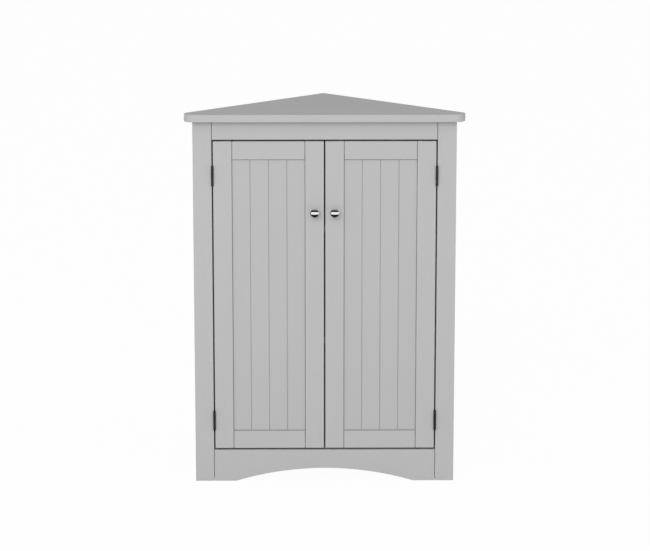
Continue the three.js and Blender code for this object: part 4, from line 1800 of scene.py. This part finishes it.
@dataclass
class Door:
    """An inset door: two grooved stiles, two grooved and tongued rails, and a beadboard panel."""

    side: Side
    beadboard_tree: BeadboardTree
    screw_tree: ScrewTree
    knob_screw: Screw = Screw(
        head_radius=4 * MM,
        head_height=2.4 * MM,
        under_radius=3.6 * MM,
        shank_radius=2 * MM,
    )
    plate_screw: Screw = Screw(
        head_radius=2.6 * MM,
        head_height=1.2 * MM,
        under_radius=1.4 * MM,
        shank_radius=1.3 * MM,
    )
    arris: float = 0.9 * MM
    joint_line: float = 1.1 * MM
    ease: GapEase = GapEase()
    plate_arris: float = 0.3 * MM
    groove_depth: float = 9 * MM
    groove_play: float = 0.1 * MM
    tongue_root: float = 2 * MM
    plank_count: int = 4
    groove_half_width: float = 1.3 * MM
    bead_depth: float = 1.8 * MM
    plate_corner: float = 3 * MM
    screw_proud: float = 0.1 * MM

    def node(self, part: str) -> str:
        """Give the name of one of this door's nodes."""
        return f"{self.side.word}_{part}"

    def groove(self) -> Point:
        """Find where the panel's groove starts and ends along Y.

        Returns:
            The groove's front and back.
        """
        low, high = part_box(self.node("door_panel"))
        return low.y - self.groove_play, high.y + self.groove_play

    def grooved(self, part: str, outer_edge: float, mouth: float, floor: float) -> list[Point]:
        """Draw the section of a stile or rail, with the panel's groove in it.

        Args:
            part: The board's part of its node's name.
            outer_edge: Where the edge away from the panel is.
            mouth: Where the edge towards the panel is, at which the groove opens.
            floor: Where the groove ends.

        Returns:
            The points, in order, each with its place across the board and its Y.
        """
        low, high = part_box(self.node(part))
        front, back = self.groove()
        return [
            (outer_edge, low.y),
            (mouth, low.y),
            (mouth, front),
            (floor, front),
            (floor, back),
            (mouth, back),
            (mouth, high.y),
            (outer_edge, high.y),
        ]

    def stile(self, part: str, panel_side: int) -> None:
        """Build and dress a stile, with the groove along the edge that faces the panel.

        Args:
            part: The stile's part of its node's name.
            panel_side: The sign of X from the stile towards the panel.
        """
        low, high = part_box(self.node(part))
        outer_edge, mouth = (low.x, high.x) if panel_side > 0 else (high.x, low.x)
        outline = self.grooved(part, outer_edge, mouth, mouth - panel_side * self.groove_depth)
        name = self.node(f"{part}_board")
        mesh = prism(name, Way.UP, (outline, low.z + self.ease.bottom, high.z - self.ease.top))
        fit(name, mesh, BOARD_PAINT, self.side.door, (self.node(part),), self.arris)

    def rail(self, part: str, panel_side: int) -> None:
        """Build and dress a rail, with the groove along its inner edge and a tongue at each end.

        Args:
            part: The rail's part of its node's name.
            panel_side: The sign of Z from the rail towards the panel.
        """
        low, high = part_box(self.node(part))
        bottom, top = low.z + self.ease.bottom, high.z - self.ease.top
        outer_edge, mouth = (bottom, high.z) if panel_side > 0 else (top, low.z)
        floor = mouth - panel_side * self.groove_depth
        outline = [(y, z) for z, y in self.grooved(part, outer_edge, mouth, floor)]
        front, back = self.groove()
        play = 2 * self.groove_play
        ends = sorted((outer_edge + panel_side * self.arris, floor))
        tongue = rectangle(front + play, back - play, *ends)
        shoulder = self.groove_depth + self.joint_line
        root = shoulder + self.tongue_root
        name = self.node(f"{part}_board")
        mesh = prism(
            name,
            Way.ACROSS,
            (outline, low.x + shoulder, high.x - shoulder),
            (tongue, low.x, low.x + root),
            (tongue, high.x - root, high.x),
        )
        fit(name, mesh, BOARD_PAINT, self.side.door, (self.node(part),), self.arris)

    def panel(self) -> None:
        """Build and dress the beadboard panel."""
        low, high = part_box(self.node("door_panel"))
        rail_low, rail_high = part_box(self.node("door_top_rail"))
        shoulder = self.groove_depth - self.groove_play
        left, right = rail_low.x + shoulder, rail_high.x - shoulder
        reach = left - low.x
        sizes = {
            "Plank Width": (right - left) / self.plank_count,
            "Board Height": high.z - low.z,
            "Board Thickness": high.y - low.y,
            "Edge Reach": reach,
            "Groove Half Width": self.groove_half_width,
            "Groove Depth": self.bead_depth,
            "Plank Count": self.plank_count,
        }
        name = self.node("door_beadboard")
        spot = Spot(Vector((left, low.y, low.z + reach)))
        mesh = self.beadboard_tree.make(name, [spot], PANEL_PAINT, sizes)
        work = bmesh.new()
        work.from_mesh(mesh)
        fit(name, closed(work, name), PANEL_PAINT, self.side.door, (self.node("door_panel"),))

    def back_spot(self, node: str, proud: float = 0.0) -> Spot:
        """Give the spot of a screw that is driven from the door's back through a node.

        Args:
            node: The node that it goes through, or that it is.
            proud: How far its head stands out of the node's back.

        Returns:
            The screw's spot.
        """
        centre = centre_of(node)
        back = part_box(node)[1].y
        return Spot.facing(Vector((centre.x, back, centre.z)), Vector((0, 1, 0)), proud)

    def drive_knob_screw(self) -> None:
        """Build the screw that holds the knob, as long as its node."""
        node = self.node("knob_screw")
        low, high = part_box(node)
        screw = replace(self.knob_screw, length=high.y - low.y)
        spots = [self.back_spot(node)]
        screw.drive(self.screw_tree, f"{node}_turned", spots, ZINC, self.side.door, (node,))

    def strike_plate(self) -> None:
        """Build the plate that the catch's magnet pulls, with its screw."""
        node = self.node("strike_plate")
        low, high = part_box(node)
        centre = centre_of(node)
        width, height = high.x - low.x, high.z - low.z
        outline = rounded_rectangle((centre.x, centre.z), width, height, self.plate_corner)
        mesh = prism(f"{node}_pressed", Way.BACK, (outline, low.y, high.y))
        fit(f"{node}_pressed", mesh, ZINC, self.side.door, (node,), self.plate_arris)
        spots = [self.back_spot(node, self.screw_proud)]
        self.plate_screw.drive(self.screw_tree, f"{node}_screw", spots, ZINC, self.side.door)

    def build(self) -> None:
        """Build the whole door."""
        inward = -self.side.value
        self.stile("door_hinge_stile", inward)
        self.stile("door_meeting_stile", -inward)
        self.rail("door_top_rail", -1)
        self.rail("door_bottom_rail", 1)
        self.panel()
        Knob().build(self.side)
        self.drive_knob_screw()
        self.strike_plate()


@dataclass
class Studio:
    """The pale floor, the plain soft light and the camera."""

    camera_place: Vector = field(default_factory=lambda: Vector((-0.042, -5.4235, 1.592)))
    camera_pitch: float = math.radians(12.17)
    camera_yaw: float = math.radians(0.464)
    lens: float = 141.0
    sensor_width: float = 36.0
    sight: float = 100.0

    # The floor's half width, its own shade, and how much of it glows to look white.
    floor_reach: float = 14.0
    floor_shade: float = 0.8
    floor_glow: float = 0.97

    # The soft light from all round, and the lift that it gets towards the front and above.
    ambient: float = 0.48
    sky_lift: float = 0.4
    sky_rise: float = math.radians(60)
    sky_focus: float = 2.0

    # The lamp: its power, size and distance, how high it hangs and how far it is turned, and its aim.
    key_power: float = 154.0
    key_size: float = 3.2
    key_distance: float = 6.5
    key_rise: float = math.radians(24)
    key_turn: float = math.radians(-12)
    aim: Vector = field(default_factory=lambda: Vector((0, -0.14, 0.45)))

    # What polished metal sees: where the unlit ceiling, the unlit left side and the light overhead
    # start and are full, and from where to where the floor near the cupboard goes dark.
    ceiling_starts: float = math.radians(7)
    ceiling_full: float = math.radians(13)
    left_starts: float = math.radians(57)
    left_full: float = math.radians(67)
    overhead_starts: float = math.radians(28)
    overhead_full: float = math.radians(80)
    overhead_glow: float = 0.35
    near_floor: float = 1.5
    near_floor_fades: float = 1.75
    unlit: float = 0.02

    def floor_material(self) -> bpy.types.Material:
        """Make the floor's material, which keeps the cupboard's shadow and looks white.

        Polished metal shows the floor white as well, apart from the unlit parts close to the
        cupboard and far to its left.

        Returns:
            The material.
        """
        material = bpy.data.materials.new("pale_studio_floor")
        material.use_nodes = True
        tree = material.node_tree
        tree.nodes.clear()
        wiring = Wiring(tree)
        path = wiring.add("ShaderNodeLightPath")
        position = wiring.add("ShaderNodeNewGeometry")["Position"]
        distance = wiring.add("ShaderNodeVectorMath", {"Vector": position}, operation="LENGTH")["Value"]
        parts = wiring.add("ShaderNodeSeparateXYZ", {"Vector": position})
        near = wiring.fade(distance, self.near_floor_fades, self.near_floor)
        beside = self.left_side(wiring, parts["X"] / distance)
        mirrored = path["Is Glossy Ray"]
        direct = path["Is Camera Ray"] + path["Is Transmission Ray"]
        glow = 1 - mirrored * near.work("MAXIMUM", beside) * (1 - self.unlit)
        shade = self.floor_shade
        pale = wiring.add("ShaderNodeBsdfDiffuse", {"Color": (shade, shade, shade, 1)})["BSDF"]
        white = wiring.add("ShaderNodeEmission", {"Strength": glow})["Emission"]
        inputs = dict(enumerate((direct * self.floor_glow + mirrored, pale, white)))
        whole = wiring.add("ShaderNodeMixShader", inputs)["Shader"]
        wiring.add("ShaderNodeOutputMaterial", {"Surface": whole})
        return material

    def floor(self) -> None:
        """Lay the plain pale floor."""
        reach = self.floor_reach
        corners = [(x, y, 0) for x, y in rectangle(-reach, reach, -reach, reach)]
        mesh = bpy.data.meshes.new("studio_floor")
        mesh.from_pydata(corners, [], [range(len(corners))])
        mesh.materials.append(self.floor_material())
        floor = bpy.data.objects.new("studio_floor", mesh)
        bpy.context.scene.collection.objects.link(floor)

    def left_side(self, wiring: Wiring, across: Wire) -> Wire:
        """Tell which part of the studio lies in the unlit side on the left.

        Args:
            wiring: The material's wiring.
            across: The direction's share to the right.

        Returns:
            A wire that is 1 on the far left and 0 ahead and on the right.
        """
        return wiring.fade(-across, math.sin(self.left_starts), math.sin(self.left_full))

    def world(self) -> None:
        """Light the scene softly from all round and most from above, and show white behind it.

        Polished metal shows the white too, but for the studio's unlit left side and the unlit
        band between the white and the light overhead.
        """
        world = bpy.data.worlds.new("studio")
        world.use_nodes = True
        bpy.context.scene.world = world
        tree = world.node_tree
        tree.nodes.clear()
        wiring = Wiring(tree)
        path = wiring.add("ShaderNodeLightPath")
        direction = wiring.add("ShaderNodeTexCoord")["Generated"]
        parts = wiring.add("ShaderNodeSeparateXYZ", {"Vector": direction})
        rise = parts["Z"]
        ceiling = wiring.fade(rise, math.sin(self.ceiling_starts), math.sin(self.ceiling_full))
        beside = self.left_side(wiring, parts["X"])
        overhead = wiring.fade(rise, math.sin(self.overhead_starts), math.sin(self.overhead_full))
        mirrored = path["Is Glossy Ray"]
        direct = path["Is Camera Ray"] + path["Is Transmission Ray"]
        shown = 1 - ceiling.work("MAXIMUM", beside) * (1 - self.unlit) + overhead * self.overhead_glow
        front = Vector((0, -math.cos(self.sky_rise), math.sin(self.sky_rise)))
        inputs = dict(enumerate((direction, front)))
        facing = wiring.add("ShaderNodeVectorMath", inputs, operation="DOT_PRODUCT")["Value"]
        soft = self.ambient + facing.work("MAXIMUM", 0.0).work("POWER", self.sky_focus) * self.sky_lift
        strength = soft + direct * (1 - soft) + mirrored * (shown - soft)
        light = wiring.add("ShaderNodeBackground", {"Color": (1, 1, 1, 1), "Strength": strength})
        wiring.add("ShaderNodeOutputWorld", {"Surface": light["Background"]})

    def key_light(self) -> None:
        """Hang one large soft lamp in front of the cupboard, above the camera's view."""
        lamp = bpy.data.lights.new("soft_key", "AREA")
        lamp.shape = "SQUARE"
        lamp.size = self.key_size
        lamp.energy = self.key_power
        back = Vector(
            (
                math.sin(self.key_turn) * math.cos(self.key_rise),
                -math.cos(self.key_turn) * math.cos(self.key_rise),
                math.sin(self.key_rise),
            ),
        )
        holder = bpy.data.objects.new("soft_key", lamp)
        holder.location = self.aim + back * self.key_distance
        holder.visible_glossy = False
        holder.rotation_euler = (-back).to_track_quat("-Z", "Y").to_euler()
        bpy.context.scene.collection.objects.link(holder)

    def camera(self) -> None:
        """Set the camera where the photograph was taken from."""
        data = bpy.data.cameras.new("camera")
        data.sensor_width = self.sensor_width
        data.lens = self.lens
        data.clip_end = self.sight
        camera = bpy.data.objects.new("camera", data)
        camera.location = self.camera_place
        camera.rotation_euler = (QUARTER_TURN - self.camera_pitch, 0, -self.camera_yaw)
        bpy.context.scene.collection.objects.link(camera)
        bpy.context.scene.camera = camera

    def build(self) -> None:
        """Set up the whole studio."""
        bpy.context.scene.view_settings.view_transform = "Standard"
        self.floor()
        self.world()
        self.key_light()
        self.camera()


def main() -> None:
    """Load the frame, build the cupboard round it and set up the studio."""
    logging.basicConfig(level=logging.INFO, format="%(message)s")
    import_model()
    screw_tree = ScrewTree()
    beadboard_tree = BeadboardTree()
    Worktop().build()
    FaceFrame().build()
    SidePanels(screw_tree).build()
    CornerBoards().build()
    ShelfPins(ShelfPinTree()).build()
    MagneticCatch(screw_tree).build()
    Hinges(LeafTree(), screw_tree).build()
    for side in Side:
        Door(side, beadboard_tree, screw_tree).build()
    Studio().build()


if __name__ == "__main__":
    main()
